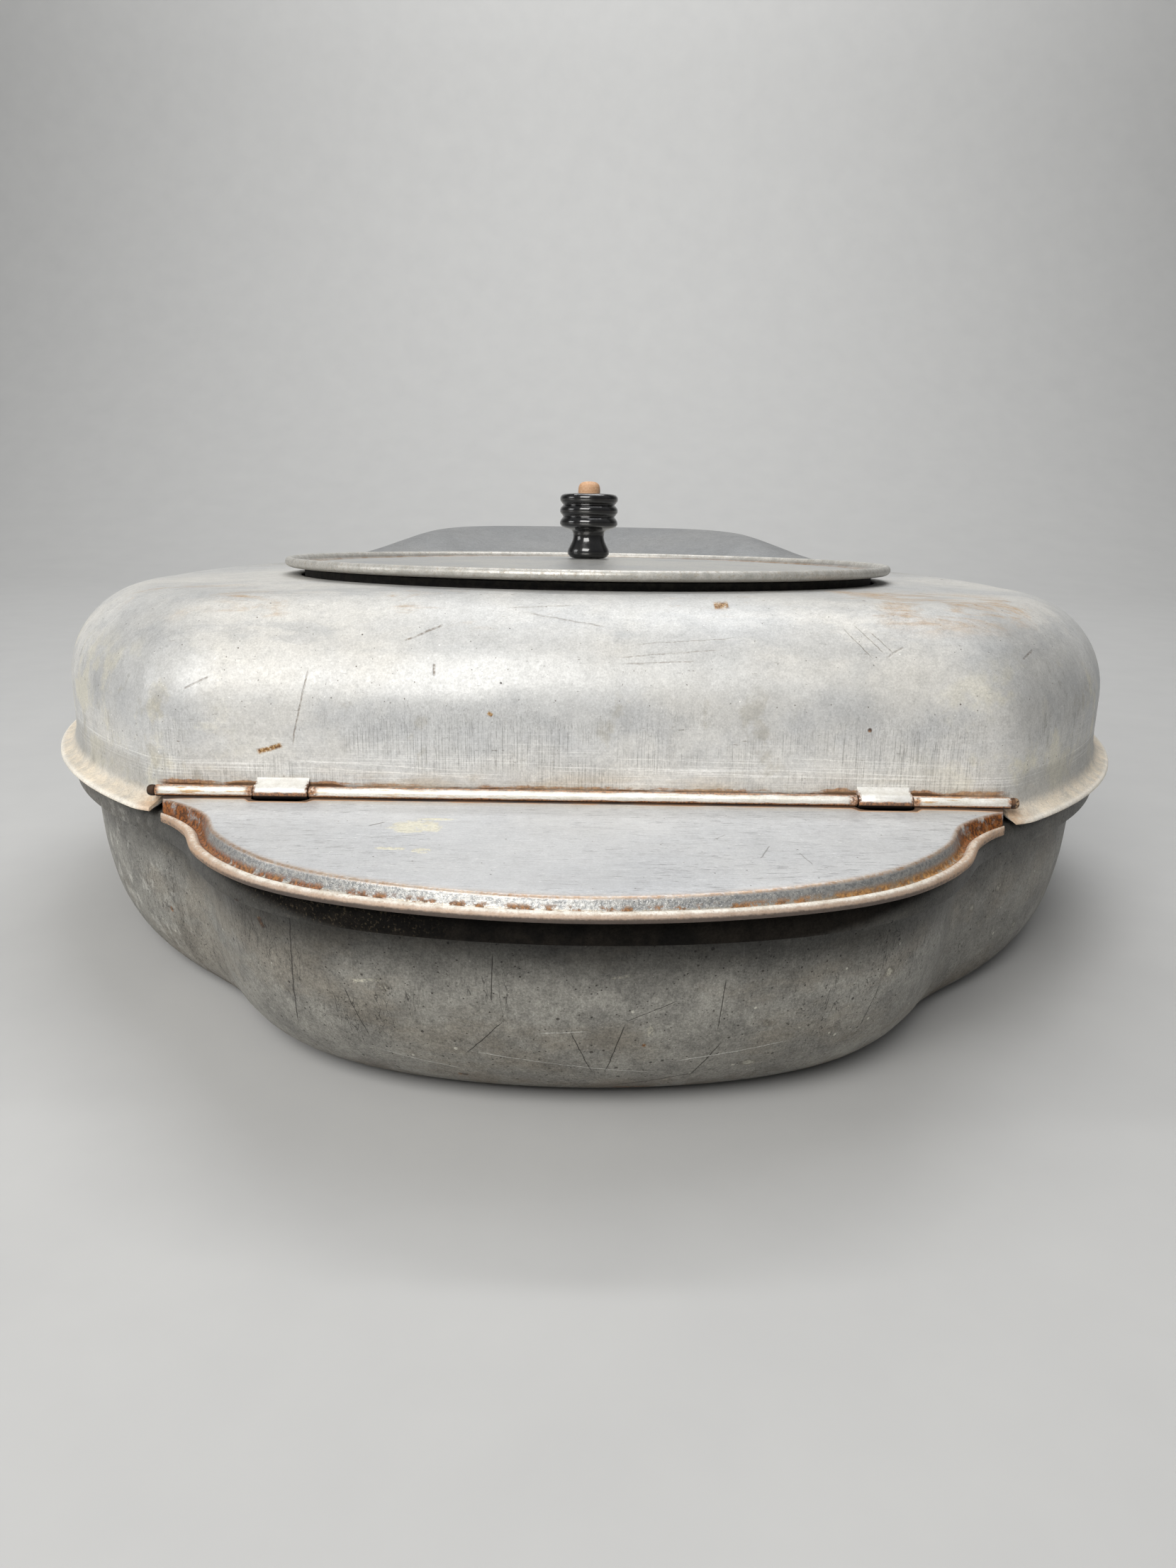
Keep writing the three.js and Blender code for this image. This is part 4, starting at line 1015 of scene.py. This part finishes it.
def rim_rod_section(phi, rod_r=1.75, sides=16):
    """Wire inside the rolled rim."""
    middle_r = 228.3 + TUB_LOBE * tub_swelling(phi)
    turns = [i * 360 / sides * RAD for i in range(sides)]
    return [(middle_r + rod_r * math.cos(a), 70.1 + rod_r * math.sin(a)) for a in turns]


TUB_PHIS = [i * 0.6 for i in range(600)]
make("tub_body", sweep(tub_section, TUB_PHIS), TUB, "tub", replaces="tub")
make("tub_rim_rod", sweep(rim_rod_section, TUB_PHIS[::2]), WIRE_IRON, "tub",
     "tub_rim_wire")

# ------------------------------------------------------------- front plate
PLATE_END = math.degrees(math.atan2(138.5, 192.3))  # half the angle the rim spans
PLATE_COLUMNS = 760
PANEL_ROWS = 12
LIP_WIDTH = 7.8
# Distance in from the rim, height, tag: over the lip, the groove and the pressed step.
LIP_TOP = spline([
    (1.2, 74.2, -2), (1.05, 74.0, -1), (0.7, 73.98, -0.2), (0.36, 74.2, 0.3), (0.03, 75.2, 0.8),
    (0.12, 75.8, 1.2), (0.5, 76.35, 1.6), (1.1, 76.78, 2.1), (1.8, 76.9, 2.7),
    (2.4, 76.78, 3.3), (2.9, 76.4, 4.0), (3.35, 75.9, 4.7), (3.8, 75.6, 5.2), (4.3, 75.5, 5.7),
    (4.8, 75.75, 6.4), (5.2, 76.3, 7.2), (6.35, 78.15, 8.9), (6.7, 78.65, 9.3),
    (7.2, 78.98, 9.7), (7.8, 79.1, 9.9)], 3)
# The same columns back along the underside, ending where the top began.
LIP_UNDER = spline([
    (8.2, 78.25, -9), (7.5, 77.9, -9), (7.0, 77.3, -8), (5.8, 75.3, -7), (4.3, 74.6, -6),
    (3.0, 75.0, -5), (2.4, 75.7, -4), (1.7, 76.0, -3), (1.1, 75.6, -2.5), (0.9, 75.0, -2.2),
    (1.2, 74.2, -2)], 3)[:-1]


def hinge_edge_y(x):
    """Hinge-side edge of the panel, notched with round corners under the cover's tubes."""
    depth, corner, gap, ramp = 5.2, 4.2, 1.0, 0.35
    inset = min(abs(x) - (KNUCKLE_IN - gap), KNUCKLE_OUT + gap - abs(x))
    inset = min(max(0.0, inset), corner)
    return (HINGE_Y - (depth - corner) * min(1, inset / ramp)
            - math.sqrt(max(0, corner ** 2 - (corner - inset) ** 2)))


def rim_point(turn):
    r = BODY_R + LOBE * lobe(abs(turn))
    return r * math.sin(turn * RAD), -r * math.cos(turn * RAD)


def plate_section(angle):
    """Closed section of the plate at an angle from the front, as (x, y, z, tag) points."""
    turn = abs(angle)
    side = 1 if angle >= 0 else -1
    rim = rim_point(turn)
    (ax, ay), (bx, by) = rim_point(turn - 1.0), rim_point(turn + 1.0)
    length = math.hypot(bx - ax, by - ay)
    foot = (rim[0] - (by - ay) / length * LIP_WIDTH, rim[1] + (bx - ax) / length * LIP_WIDTH)
    # the lip's inner edge runs into one corner at each end of the hinge
    corner = (139.9, -186.9)
    pull = smoothstep((turn - 31.5) / (PLATE_END - 31.5))
    foot = tuple(f * (1 - pull) + c * pull for f, c in zip(foot, corner))
    lift = 1.2 * smoothstep(turn / 27)
    hinge_x = 141.0 * foot[0] / corner[0]
    hinge = (hinge_x, hinge_edge_y(hinge_x))
    foot_z = 79.1 + lift
    hinge_z = 80.95 if hinge[1] > HINGE_Y - 0.5 else 80.85

    def place(start, end, share, z, tag):
        return (side * (start[0] + (end[0] - start[0]) * share),
                start[1] + (end[1] - start[1]) * share, z, tag)

    section = []
    for d, z, tag in LIP_TOP:
        rise = min(1.0, max(0.0, (d - 5.0) / 1.6))
        section.append(place(rim, foot, d / LIP_WIDTH, z + lift * rise, tag))
    for k in range(1, PANEL_ROWS + 1):
        q = k / PANEL_ROWS
        section.append(place(foot, hinge, q, foot_z + (hinge_z - foot_z) * q, 10 + 4 * q))
    for k in range(PANEL_ROWS, 0, -1):
        q = k / PANEL_ROWS
        section.append(place(foot, hinge, q, foot_z + (hinge_z - foot_z) * q - 0.9, -20))
    for d, z, tag in LIP_UNDER:
        rise = min(1.0, max(0.0, (d - 5.4) / 1.4))
        section.append(place(rim, foot, min(1.03, d / LIP_WIDTH), z + lift * rise, tag))
    return section


def plate_cap(verts, base, size):
    """Triangles that close one end, zipped between the top side and the underside."""
    top_size = len(LIP_TOP) + PANEL_ROWS
    a, b = base, base + size - 1
    faces = []
    while b - a > 1:
        top_is_behind = b - base <= top_size or (
            math.dist(verts[a + 1], verts[b]) < math.dist(verts[b - 1], verts[a]))
        if a - base < top_size - 1 and top_is_behind:
            faces.append((a, a + 1, b))
            a += 1
        else:
            faces.append((a, b - 1, b))
            b -= 1
    return faces


def front_plate():
    sections = [plate_section(-PLATE_END + 2 * PLATE_END * i / PLATE_COLUMNS)
                for i in range(PLATE_COLUMNS + 1)]
    size = len(sections[0])
    verts = [point[:3] for section in sections for point in section]
    tags = [point[3] for section in sections for point in section]
    faces = []
    for here in range(0, PLATE_COLUMNS * size, size):
        there = here + size
        for j in range(size):
            k = (j + 1) % size
            faces.append((here + j, there + j, there + k, here + k))
    faces += plate_cap(verts, 0, size)
    faces += [tuple(reversed(t)) for t in plate_cap(verts, PLATE_COLUMNS * size, size)]
    make("front_plate_panel", (verts, faces, tags), PLATE, "front_plate",
         replaces="front_plate", sharp=40)


front_plate()


# ------------------------------------------------------------------- hinge
def tube(name, x0, x1, body, material, outer_r=2.0):
    """Hinge tube curled from sheet: rounded ends, with the curl's seam as a groove below."""
    inner_r, edge, around = 1.35, 0.25, 40
    corners = [
        (x0, inner_r + edge * 0.6), (x0, outer_r - edge), (x0 + edge * 0.3, outer_r - edge * 0.3),
        (x0 + edge, outer_r), (x1 - edge, outer_r), (x1 - edge * 0.3, outer_r - edge * 0.3),
        (x1, outer_r - edge), (x1, inner_r + edge * 0.6), (x1 - edge * 0.6, inner_r),
        (x0 + edge * 0.6, inner_r)]
    # split long straight runs so marks and bends stay even
    points = []
    for (x, r), (next_x, next_r) in zip(corners, corners[1:] + corners[:1]):
        cuts = max(1, int(abs(next_x - x) / 6))
        for s in range(cuts):
            points.append((x + (next_x - x) * s / cuts, r + (next_r - r) * s / cuts))
    verts = []
    for x, r in points:
        for i in range(around):
            a = 2 * math.pi * i / around
            in_seam = r > 1.7 and abs((i / around * 360 - 300 + 180) % 360 - 180) < 10
            seam_r = r - 0.28 if in_seam else r
            verts.append((x, HINGE_Y + seam_r * math.cos(a), HINGE_Z + seam_r * math.sin(a)))
    mesh = (verts, loft_faces(len(points), around, joined=True), [])
    make(name, mesh, material, body, sharp=50)


def tab(name, x0, x1):
    """Tongue of the cover's wall that sweeps down and forward over the pin."""
    # (y, z) round the tongue: its outer face, then its inner face
    loop = spline([(-180.9, 86.75), (-181.1, 86.55), (-181.5, 86.15), (-182.2, 85.65),
                   (-183.1, 85.27), (-184.1, 85.09)], 4)
    loop += [(-184.1, 84.6), (-183.0, 84.5), (-182.2, 84.0), (-181.7, 83.2), (-181.9, 81.6),
             (-180.4, 81.2), (-180.3, 86.8)]
    edge = 0.5
    stations = [  # x, how much the loop is drawn in
        (x0, edge), (x0 + edge * 0.4, edge * 0.4), (x0 + edge, 0), (x0 + 4, 0),
        (x1 - 4, 0), (x1 - edge, 0), (x1 - edge * 0.4, edge * 0.4), (x1, edge)]
    middle_y = sum(p[0] for p in loop) / len(loop)
    middle_z = sum(p[1] for p in loop) / len(loop)
    verts = []
    for x, inset in stations:
        for y, z in loop:
            distance = math.hypot(y - middle_y, z - middle_z) or 1
            k = max(0.0, 1 - 0.45 * inset / distance)
            verts.append((x, middle_y + (y - middle_y) * k, middle_z + (z - middle_z) * k))
    make(name, (verts, loft_faces(len(stations), len(loop)), []), TAB, "rear_cover", sharp=40)


TUBE_GAP, HINGE_END = 0.35, 143.0
tube("plate_tube_middle", -KNUCKLE_IN + TUBE_GAP, KNUCKLE_IN - TUBE_GAP, "front_plate", TUBE)
tube("plate_tube_left", -HINGE_END, -KNUCKLE_OUT - TUBE_GAP, "front_plate", TUBE)
tube("plate_tube_right", KNUCKLE_OUT + TUBE_GAP, HINGE_END, "front_plate", TUBE)
tube("cover_tube_left", -KNUCKLE_OUT, -KNUCKLE_IN, "rear_cover", TAB, outer_r=2.6)
tube("cover_tube_right", KNUCKLE_IN, KNUCKLE_OUT, "rear_cover", TAB, outer_r=2.6)
tab("cover_tab_left", -KNUCKLE_OUT + 0.2, -KNUCKLE_IN - 0.2)
tab("cover_tab_right", KNUCKLE_IN + 0.2, KNUCKLE_OUT - 0.2)

# Radius and distance from the middle of the pin's rounded heads.
PIN_HEAD = [(0.0, 146), (0.8, 145.97), (1.35, 145.75), (1.72, 145.35), (1.88, 144.8),
            (1.9, 144.1), (1.82, 143.5), (1.55, 143.2), (0.95, 143.2)]
pin_profile = ([(r, -x) for r, x in PIN_HEAD] + [(0.95, x) for x in range(-140, 141, 10)]
               + PIN_HEAD[::-1])
along_x = Matrix.Translation((0, HINGE_Y, HINGE_Z)) @ Matrix.Rotation(math.pi / 2, 4, "Y")
make("hinge_rod", lathe(pin_profile, 24), PIN_IRON, "front_plate", "hinge_pin",
     matrix=along_x)

# -------------------------------------------------------------- rear cover
FLANGE_FROM = 38.2  # degrees from the front where the flared foot begins
# Distance out from the wall, height, tag: from the flange's edge up to the wall.
FLARE_OUT = spline([
    (5.4, 76.0, 0.0), (6.4, 75.5, 0.05), (6.86, 75.37, 0.1), (6.95, 75.9, 0.2),
    (6.6, 76.6, 0.35), (5.4, 77.1, 0.5), (3.6, 77.75, 0.7), (2.0, 78.9, 0.9),
    (0.9, 80.9, 1.1), (0.25, 84.2, 1.4), (0.0, 88.5, 1.9)], 3)
FLARE_IN = spline([
    (-1.0, 88.5, 6.2), (-0.8, 84.2, 6.2), (-0.25, 80.6, 6.1), (0.9, 78.2, 6.0),
    (2.4, 77.1, 6.0), (5.4, 76.0, 6.0)], 3)[:-1]
# Distance out and height of the plain foot along the hinge, matched to the flare.
BARE_OUT = spline([
    (-0.5, 79.72), (-0.3, 79.7), (-0.15, 79.75), (-0.02, 79.9), (0, 80.2), (0, 80.7),
    (0, 81.4), (0, 82.2), (0, 83.4), (0, 85.2), (0, 88.5)], 3)
BARE_IN = spline([
    (-1.0, 88.5), (-1.0, 85), (-1.0, 82.6), (-1.0, 80.8), (-0.9, 79.9), (-0.5, 79.72)], 3)[:-1]


def cover_section(phi):
    """Up the outside, over to the opening and back down the inside."""
    turn = from_front(phi)
    roll = roll_radius(turn)
    crest = crest_z(phi)
    wall_r = cover_outline(phi, 0)
    shoulder_r = cover_outline(phi, roll)
    flanged = turn > FLANGE_FROM
    opening_z = TOP_Z - TILT * OPEN_R * math.sin(phi * RAD)

    def top_point(q, drop, tag):
        return (shoulder_r + (OPEN_R + 1.2 - shoulder_r) * q,
                crest + (opening_z - crest) * smoothstep(q) - drop, tag)

    section = []
    for (out, z, tag), bare in zip(FLARE_OUT, BARE_OUT):
        if not flanged:
            (out, z), tag = bare, 1.3 + tag * 0.3
        section.append((wall_r + out, z, tag))
    for q in (0.33, 0.66):
        section.append((wall_r, 88.5 + (crest - roll - 88.5) * q, 2.0 + q))
    for k in range(19):
        a = k * 5 * RAD
        section.append((cover_outline(phi, roll * (1 - math.cos(a))),
                        crest - roll * (1 - math.sin(a)), 3 + k / 18))
    for k in range(1, 11):
        section.append(top_point(k / 10, 0, 4.0 + k / 10))
    section += [(OPEN_R + 0.35, opening_z - 0.1, 5.1), (OPEN_R, opening_z - 0.45, 5.2),
                (OPEN_R + 0.3, opening_z - 0.9, 5.3)]
    for k in range(10, 0, -2):
        section.append(top_point(k / 10, SHEET, 6.5))
    inner_roll = roll - SHEET
    for k in range(9, -1, -1):
        a = k * 10 * RAD
        section.append((cover_outline(phi, roll - inner_roll * math.cos(a)),
                        crest - roll + inner_roll * math.sin(a), 6.5))
    for (out, z, tag), bare in zip(FLARE_IN, BARE_IN):
        if not flanged:
            out, z = bare
        section.append((wall_r + out, z, tag))
    return section


# degrees from the front, crowded where the flange begins, then mirrored
half = [i * 0.6 for i in range(301) if abs(i * 0.6 - FLANGE_FROM) > 0.25]
half = sorted(half + [FLANGE_FROM + d for d in (-0.22, -0.02, 0.02, 0.22)])
cover_phis = [h - 90 for h in half] + [270 - h for h in reversed(half) if 0 < h < 179.999]
make("rear_cover_shell", sweep(cover_section, cover_phis), COVER, "rear_cover",
     replaces="rear_cover", sharp=45)

# ------------------------------------------------------------ collar, lid
LID_FRAME = Matrix.Translation((0, 0, LID_Z)) @ Matrix.Rotation(-math.atan(TILT), 4, "X")
seat = TOP_Z - LID_Z  # the cover's top, in the lid's frame
# Profiles from here to the nut hold radius and height in the lid's frame.
COLLAR_PROFILE = [
    (131.0, seat - 2.4), (131.0, -3.0), (131.3, -2.68), (131.8, -2.62), (132.3, -2.68),
    (132.6, -3.0), (132.6, seat - 1.9), (132.9, seat - 1.5), (137.6, seat - 1.5),
    (138, seat - 1.7), (138, seat - 2.2), (137.6, seat - 2.4)]
collar_curve = spline(COLLAR_PROFILE, 2, corners=(0, 1, 5, 6, 7, 8, 10, 11))
make("opening_collar", lathe(collar_curve, 256), COLLAR, "rear_cover",
     "lid_collar", matrix=LID_FRAME)

# Radius, height, tag: out over the top, round the edge bead, back along the underside.
LID_PROFILE = [
    (2.5, 2.3, 0), (15, 2.27, 0.3), (30, 2.15, 0.5), (60, 1.6, 1), (95, 0.6, 1.4),
    (119, -0.35, 1.7), (126.5, -0.7, 1.9), (129.8, -0.98, 2.0), (131.8, -1.25, 2.1),
    (133.4, -1.42, 2.2), (135.2, -1.3, 2.3), (136.5, -0.5, 2.4), (137.3, 0.9, 2.6),
    (138.2, 1.85, 2.8), (139.3, 2.05, 3.0), (140.3, 1.55, 3.1), (140.9, 0.6, 3.2),
    (140.95, -0.5, 3.3), (140.3, -1.5, 3.4), (139.2, -2.05, 3.5), (138.1, -2.0, 3.6),
    (137.4, -1.6, 3.7), (137.5, -1.3, 3.8), (138.1, -1.1, 4), (139, -1.25, 4), (139.9, -0.8, 4),
    (140.2, 0, 4), (139.8, 0.9, 4), (139, 1.25, 4), (138.1, 0.9, 4), (137.7, 0.1, 4),
    (136.9, -1.4, 6), (135.6, -2.15, 6), (133.4, -2.28, 6), (131.4, -2.1, 6),
    (129.4, -1.88, 6), (126, -1.6, 6), (119, -1.25, 6), (95, -0.3, 6), (60, 0.7, 6),
    (30, 1.25, 6), (2.5, 1.4, 6)]
make("lid_panel", lathe(spline(LID_PROFILE, 3), 300), LID, "lid", replaces="lid",
     matrix=LID_FRAME, sharp=50)
BEAD_R, BEAD_WIRE_R = 138.95, 0.85
bead_profile = [(BEAD_R + BEAD_WIRE_R * math.cos(a * RAD), BEAD_WIRE_R * math.sin(a * RAD))
                for a in range(0, 360, 30)]
make("lid_bead_wire", lathe(bead_profile, 240), WIRE_IRON, "lid", "lid_rim_wire",
     matrix=LID_FRAME)

# ------------------------------------------------------------------- knob
KNOB_PROFILE = [
    (2.4, 2.5), (7.4, 2.5), (8.3, 2.75), (9.2, 3.4), (9.85, 4.4), (10.0, 5.4), (9.75, 6.6),
    (9.1, 8.0), (8.3, 9.6), (7.7, 11.0), (7.4, 12.4), (7.4, 13.6), (7.65, 14.7), (8.5, 15.5),
    (10.4, 16.1), (12.2, 16.75), (13.4, 17.7), (13.8, 18.9), (13.5, 20.1), (12.7, 21.2),
    (12.3, 21.85), (12.7, 22.5), (13.5, 23.5), (13.8, 24.7), (13.5, 25.8), (12.7, 26.75),
    (12.3, 27.3), (12.7, 27.85), (13.5, 28.9), (13.8, 30.0), (13.5, 31.1), (12.6, 31.95),
    (11.0, 32.35), (9.0, 32.38), (7.0, 32.2), (6.0, 31.95), (5.6, 31.4), (5.6, 24.4),
    (2.4, 24.4)]
PLUG_PROFILE = [
    (0, 28.4), (5.0, 28.4), (5.2, 28.8), (5.2, 33.4), (5.15, 34.6), (4.95, 35.8),
    (4.45, 36.8), (3.5, 37.55), (2.2, 37.95), (1.0, 38.08), (0, 38.1)]
BOLT_TIP = [(0, -5.8), (1.5, -5.8), (2.0, -5.3)]
BOLT_SHANK_AND_HEAD = [
    (2.0, 24.7), (2.1, 24.72), (4.2, 24.7), (4.4, 24.9), (4.4, 27.0), (4.2, 27.4),
    (3.6, 27.85), (0, 27.9)]
WASHER_PROFILE = [(2.5, 0.2), (2.6, 0.1), (6.3, 0.1), (6.5, 0.3), (6.5, 0.9), (6.3, 1.1),
                  (2.6, 1.1), (2.5, 1.0)]


def bolt_profile():
    """Bolt with a ridged thread on the end that takes the nut."""
    thread = []
    z = -5.2
    while z < 1.1:
        thread += [(2.0, z), (1.78, z + 0.35), (2.0, z + 0.7)]
        z += 0.7
    return BOLT_TIP + thread + BOLT_SHANK_AND_HEAD


def hex_nut():
    """Six-sided nut with chamfered corners and a bore."""
    half_flats, corner_r, around = 3.55, 4.1, 96
    verts = []

    def add_row(z, radius):
        for i in range(around):
            degrees = i * 360 / around
            r = radius(degrees)
            verts.append((r * math.cos(degrees * RAD), r * math.sin(degrees * RAD), z))

    def outside(cut):
        return lambda degrees: min(half_flats / math.cos(((degrees + 30) % 60 - 30) * RAD),
                                   corner_r - cut)

    for z, cut in ((-3.4, 0.35), (-3.15, 0.0), (-0.45, 0.0), (-0.2, 0.35)):
        add_row(z, outside(cut))
    for z, bore in ((-0.2, 2.6), (-0.4, 2.35), (-3.2, 2.35), (-3.4, 2.6)):
        add_row(z, lambda degrees: bore)
    return verts, loft_faces(8, around, joined=True), []


make("knob_turned", lathe(spline(KNOB_PROFILE, 3, corners=(0, 1, 36, 37, 38)), 128), KNOB,
     "lid", "knob", LID_FRAME, sharp=60)
make("knob_plug_dome", lathe(spline(PLUG_PROFILE, 4, corners=(0, 1, 3)), 64), WOOD,
     "lid", "knob_plug", LID_FRAME, sharp=60)
make("knob_through_bolt", lathe(bolt_profile(), 40), STEEL,
     "lid", "knob_bolt", LID_FRAME, sharp=25)
make("knob_flat_washer", lathe(WASHER_PROFILE, 64), STEEL,
     "lid", "knob_washer", LID_FRAME, sharp=30)
make("knob_hex_nut", hex_nut(), STEEL, "lid", "knob_nut", LID_FRAME, sharp=25)


# ----------------------------------------------------------- false bottom
def add_circle(curve, x, y, radius, points):
    circle = curve.splines.new("POLY")
    circle.points.add(points - 1)
    for i in range(points):
        a = 2 * math.pi * i / points
        place = ((x + radius * math.cos(a)) * MM, (y + radius * math.sin(a)) * MM, 0, 1)
        circle.points[i].co = place
    circle.use_cyclic_u = True


def perforated_sheet():
    """Round sheet with a middle hole and three rings of holes."""
    bevel = 0.15
    curve = bpy.data.curves.new("shelf_outline", "CURVE")
    curve.dimensions = "2D"
    curve.fill_mode = "BOTH"
    curve.extrude = 0.45 * MM
    curve.bevel_depth = bevel * MM
    curve.bevel_resolution = 2
    add_circle(curve, 0, 0, SHELF_R - bevel, 200)
    add_circle(curve, 0, 0, 7.15, 40)
    # holes in the ring, ring radius, start angle in radians
    for count, ring_r, first in ((6, 36, 0), (8, 68, 0.39), (12, 100, 0.13)):
        for i in range(count):
            a = 2 * math.pi * i / count + first
            add_circle(curve, ring_r * math.cos(a), ring_r * math.sin(a), 7.0, 36)
    outline = bpy.data.objects.new("shelf_outline", curve)
    bpy.context.scene.collection.objects.link(outline)
    graph = bpy.context.evaluated_depsgraph_get()
    data = bpy.data.meshes.new_from_object(outline.evaluated_get(graph))
    bpy.data.objects.remove(outline)
    data.transform(Matrix.Translation((0, 0, (SHELF_Z + 0.6) * MM)))
    data.name = "false_bottom_sheet"
    data.materials.clear()
    data.materials.append(SHELF)
    bm = bmesh.new()
    bm.from_mesh(data)
    bmesh.ops.remove_doubles(bm, verts=bm.verts, dist=1e-6)
    bmesh.ops.recalc_face_normals(bm, faces=bm.faces)
    bm.to_mesh(data)
    bm.free()
    sheet = bpy.data.objects.new("false_bottom_sheet", data)
    bpy.context.scene.collection.objects.link(sheet)
    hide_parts("shelf")
    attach(sheet, "false_bottom")


def lifting_loop(number, side):
    """Bent wire loop standing on the sheet, on the left (-1) or right (1)."""
    path = spline([(-16, 0), (-16, 7), (-15.8, 13), (-12, 18.7), (-5, 21), (5, 21), (12, 18.7),
                   (15.8, 13), (16, 7), (16, 0)], 6)  # y, height above the foot
    around = 16
    verts = []
    for j, (y, z) in enumerate(path):
        before, after = path[max(0, j - 1)], path[min(len(path) - 1, j + 1)]
        length = math.dist(before, after)
        dy, dz = (after[0] - before[0]) / length, (after[1] - before[1]) / length
        r = 1.15 if 0 < j < len(path) - 1 else 0.9
        for c in range(around):
            a = 2 * math.pi * c / around
            verts.append((side * 112 + r * math.sin(a) * 0.9, y - dz * r * math.cos(a),
                          SHELF_Z + 1.5 + z + dy * r * math.cos(a)))
    make("lifting_loop_%d" % number, (verts, loft_faces(len(path), around), []), STEEL,
         "false_bottom", "shelf_loop_%d" % number, sharp=40)


perforated_sheet()
LEG_PLACE = 83
LEG_PROFILE = spline([
    (0, 1.5), (2.2, 1.5), (2.8, 1.8), (3.0, 2.4), (2.9, 5), (2.6, 10), (2.8, 15), (3.0, 18.2),
    (3.4, 19.3), (4.7, 19.8), (5.0, 20.1), (5.0, 20.5), (4.8, 20.7), (0, 20.7)],
    2, corners=(0, 1, 12))
for i, (sx, sy) in enumerate(((1, 1), (-1, 1), (-1, -1), (1, -1)), start=1):
    make("false_bottom_leg_%d" % i, lathe(LEG_PROFILE, 40), STEEL, "false_bottom",
         "shelf_leg_%d" % i, Matrix.Translation((sx * LEG_PLACE, sy * LEG_PLACE, 0)), sharp=40)
lifting_loop(1, side=-1)
lifting_loop(2, side=1)


# ------------------------------------------------------- stage, in metres
def backdrop():
    """Floor that curves up into a wall behind the tub."""
    half_width, back, high, bend, drop = 14.0, 2.6, 6.0, 1.2, 0.0004
    profile = [(-half_width, 0.0), (back - bend, 0.0)]
    for k in range(1, 17):
        a = k / 16 * math.pi / 2
        profile.append((back - bend + bend * math.sin(a), bend - bend * math.cos(a)))
    profile.append((back, high))
    verts = [(x, y, z - drop) for y, z in profile for x in (-half_width, half_width)]
    faces = [(2 * j, 2 * j + 1, 2 * j + 3, 2 * j + 2) for j in range(len(profile) - 1)]
    data = bpy.data.meshes.new("floor")
    data.from_pydata(verts, [], faces)
    data.polygons.foreach_set("use_smooth", [True] * len(data.polygons))
    floor = bpy.data.objects.new("floor", data)
    bpy.context.scene.collection.objects.link(floor)
    data.materials.append(floor_material())


def area_light(name, location, target, width, height, power, colour=(1, 1, 1)):
    data = bpy.data.lights.new(name, "AREA")
    data.shape = "RECTANGLE"
    data.size = width
    data.size_y = height
    data.energy = power
    data.color = colour
    light = bpy.data.objects.new(name, data)
    light.location = location
    aim = Vector(target) - Vector(location)
    light.rotation_euler = aim.to_track_quat("-Z", "Y").to_euler()
    bpy.context.scene.collection.objects.link(light)


def studio_world():
    """Dim grey surroundings, paler overhead."""
    global tree
    world = bpy.data.worlds.new("studio")
    bpy.context.scene.world = world
    world.use_nodes = True
    tree = world.node_tree
    direction = wire("ShaderNodeTexCoord", output="Generated")
    up = wire("ShaderNodeSeparateXYZ", {0: direction}, output=2)
    share = wire("ShaderNodeMapRange", {"Value": up, "From Min": -0.1, "From Max": 0.7})
    background = tree.nodes["Background"]
    plug(background.inputs["Color"], mix(share, (0.42, 0.42, 0.42), (0.85, 0.86, 0.88)))
    background.inputs["Strength"].default_value = 0.3


def add_camera():
    """Camera in front, looking back and down with a slight roll."""
    pitch, roll = 15.5 * RAD, 0.9 * RAD
    data = bpy.data.cameras.new("camera")
    data.sensor_width = 36
    data.lens = 24.965642
    data.clip_start = 0.01
    camera = bpy.data.objects.new("camera", data)
    bpy.context.scene.collection.objects.link(camera)
    forward = Vector((0, math.cos(pitch), -math.sin(pitch)))
    level = Vector((1, 0, 0))
    upward = level.cross(forward)
    right = level * math.cos(roll) + upward * math.sin(roll)
    up = -level * math.sin(roll) + upward * math.cos(roll)
    camera.matrix_world = Matrix((
        (right.x, up.x, -forward.x, 0.0016),
        (right.y, up.y, -forward.y, -0.534),
        (right.z, up.z, -forward.z, 0.184),
        (0, 0, 0, 1)))
    bpy.context.scene.camera = camera


backdrop()
area_light("key_softbox", (-0.38, -1.18, 1.02), target=(0, -0.08, 0.08),
           width=0.9, height=0.7, power=19, colour=(1.0, 0.985, 0.96))
area_light("top_softbox", (0.15, 0.1, 1.35), target=(0, 0, 0.1),
           width=0.8, height=0.8, power=5, colour=(0.97, 0.98, 1.0))
area_light("left_fill", (-1.3, -0.3, 0.55), target=(0, 0, 0.08), width=0.5, height=0.5, power=3)
area_light("backdrop_wash", (0, 1.0, 2.2), target=(0, 2.6, 0.5), width=2.0, height=0.6, power=45)
studio_world()
bpy.context.scene.view_settings.view_transform = "Standard"
bpy.context.scene.view_settings.look = "None"
add_camera()
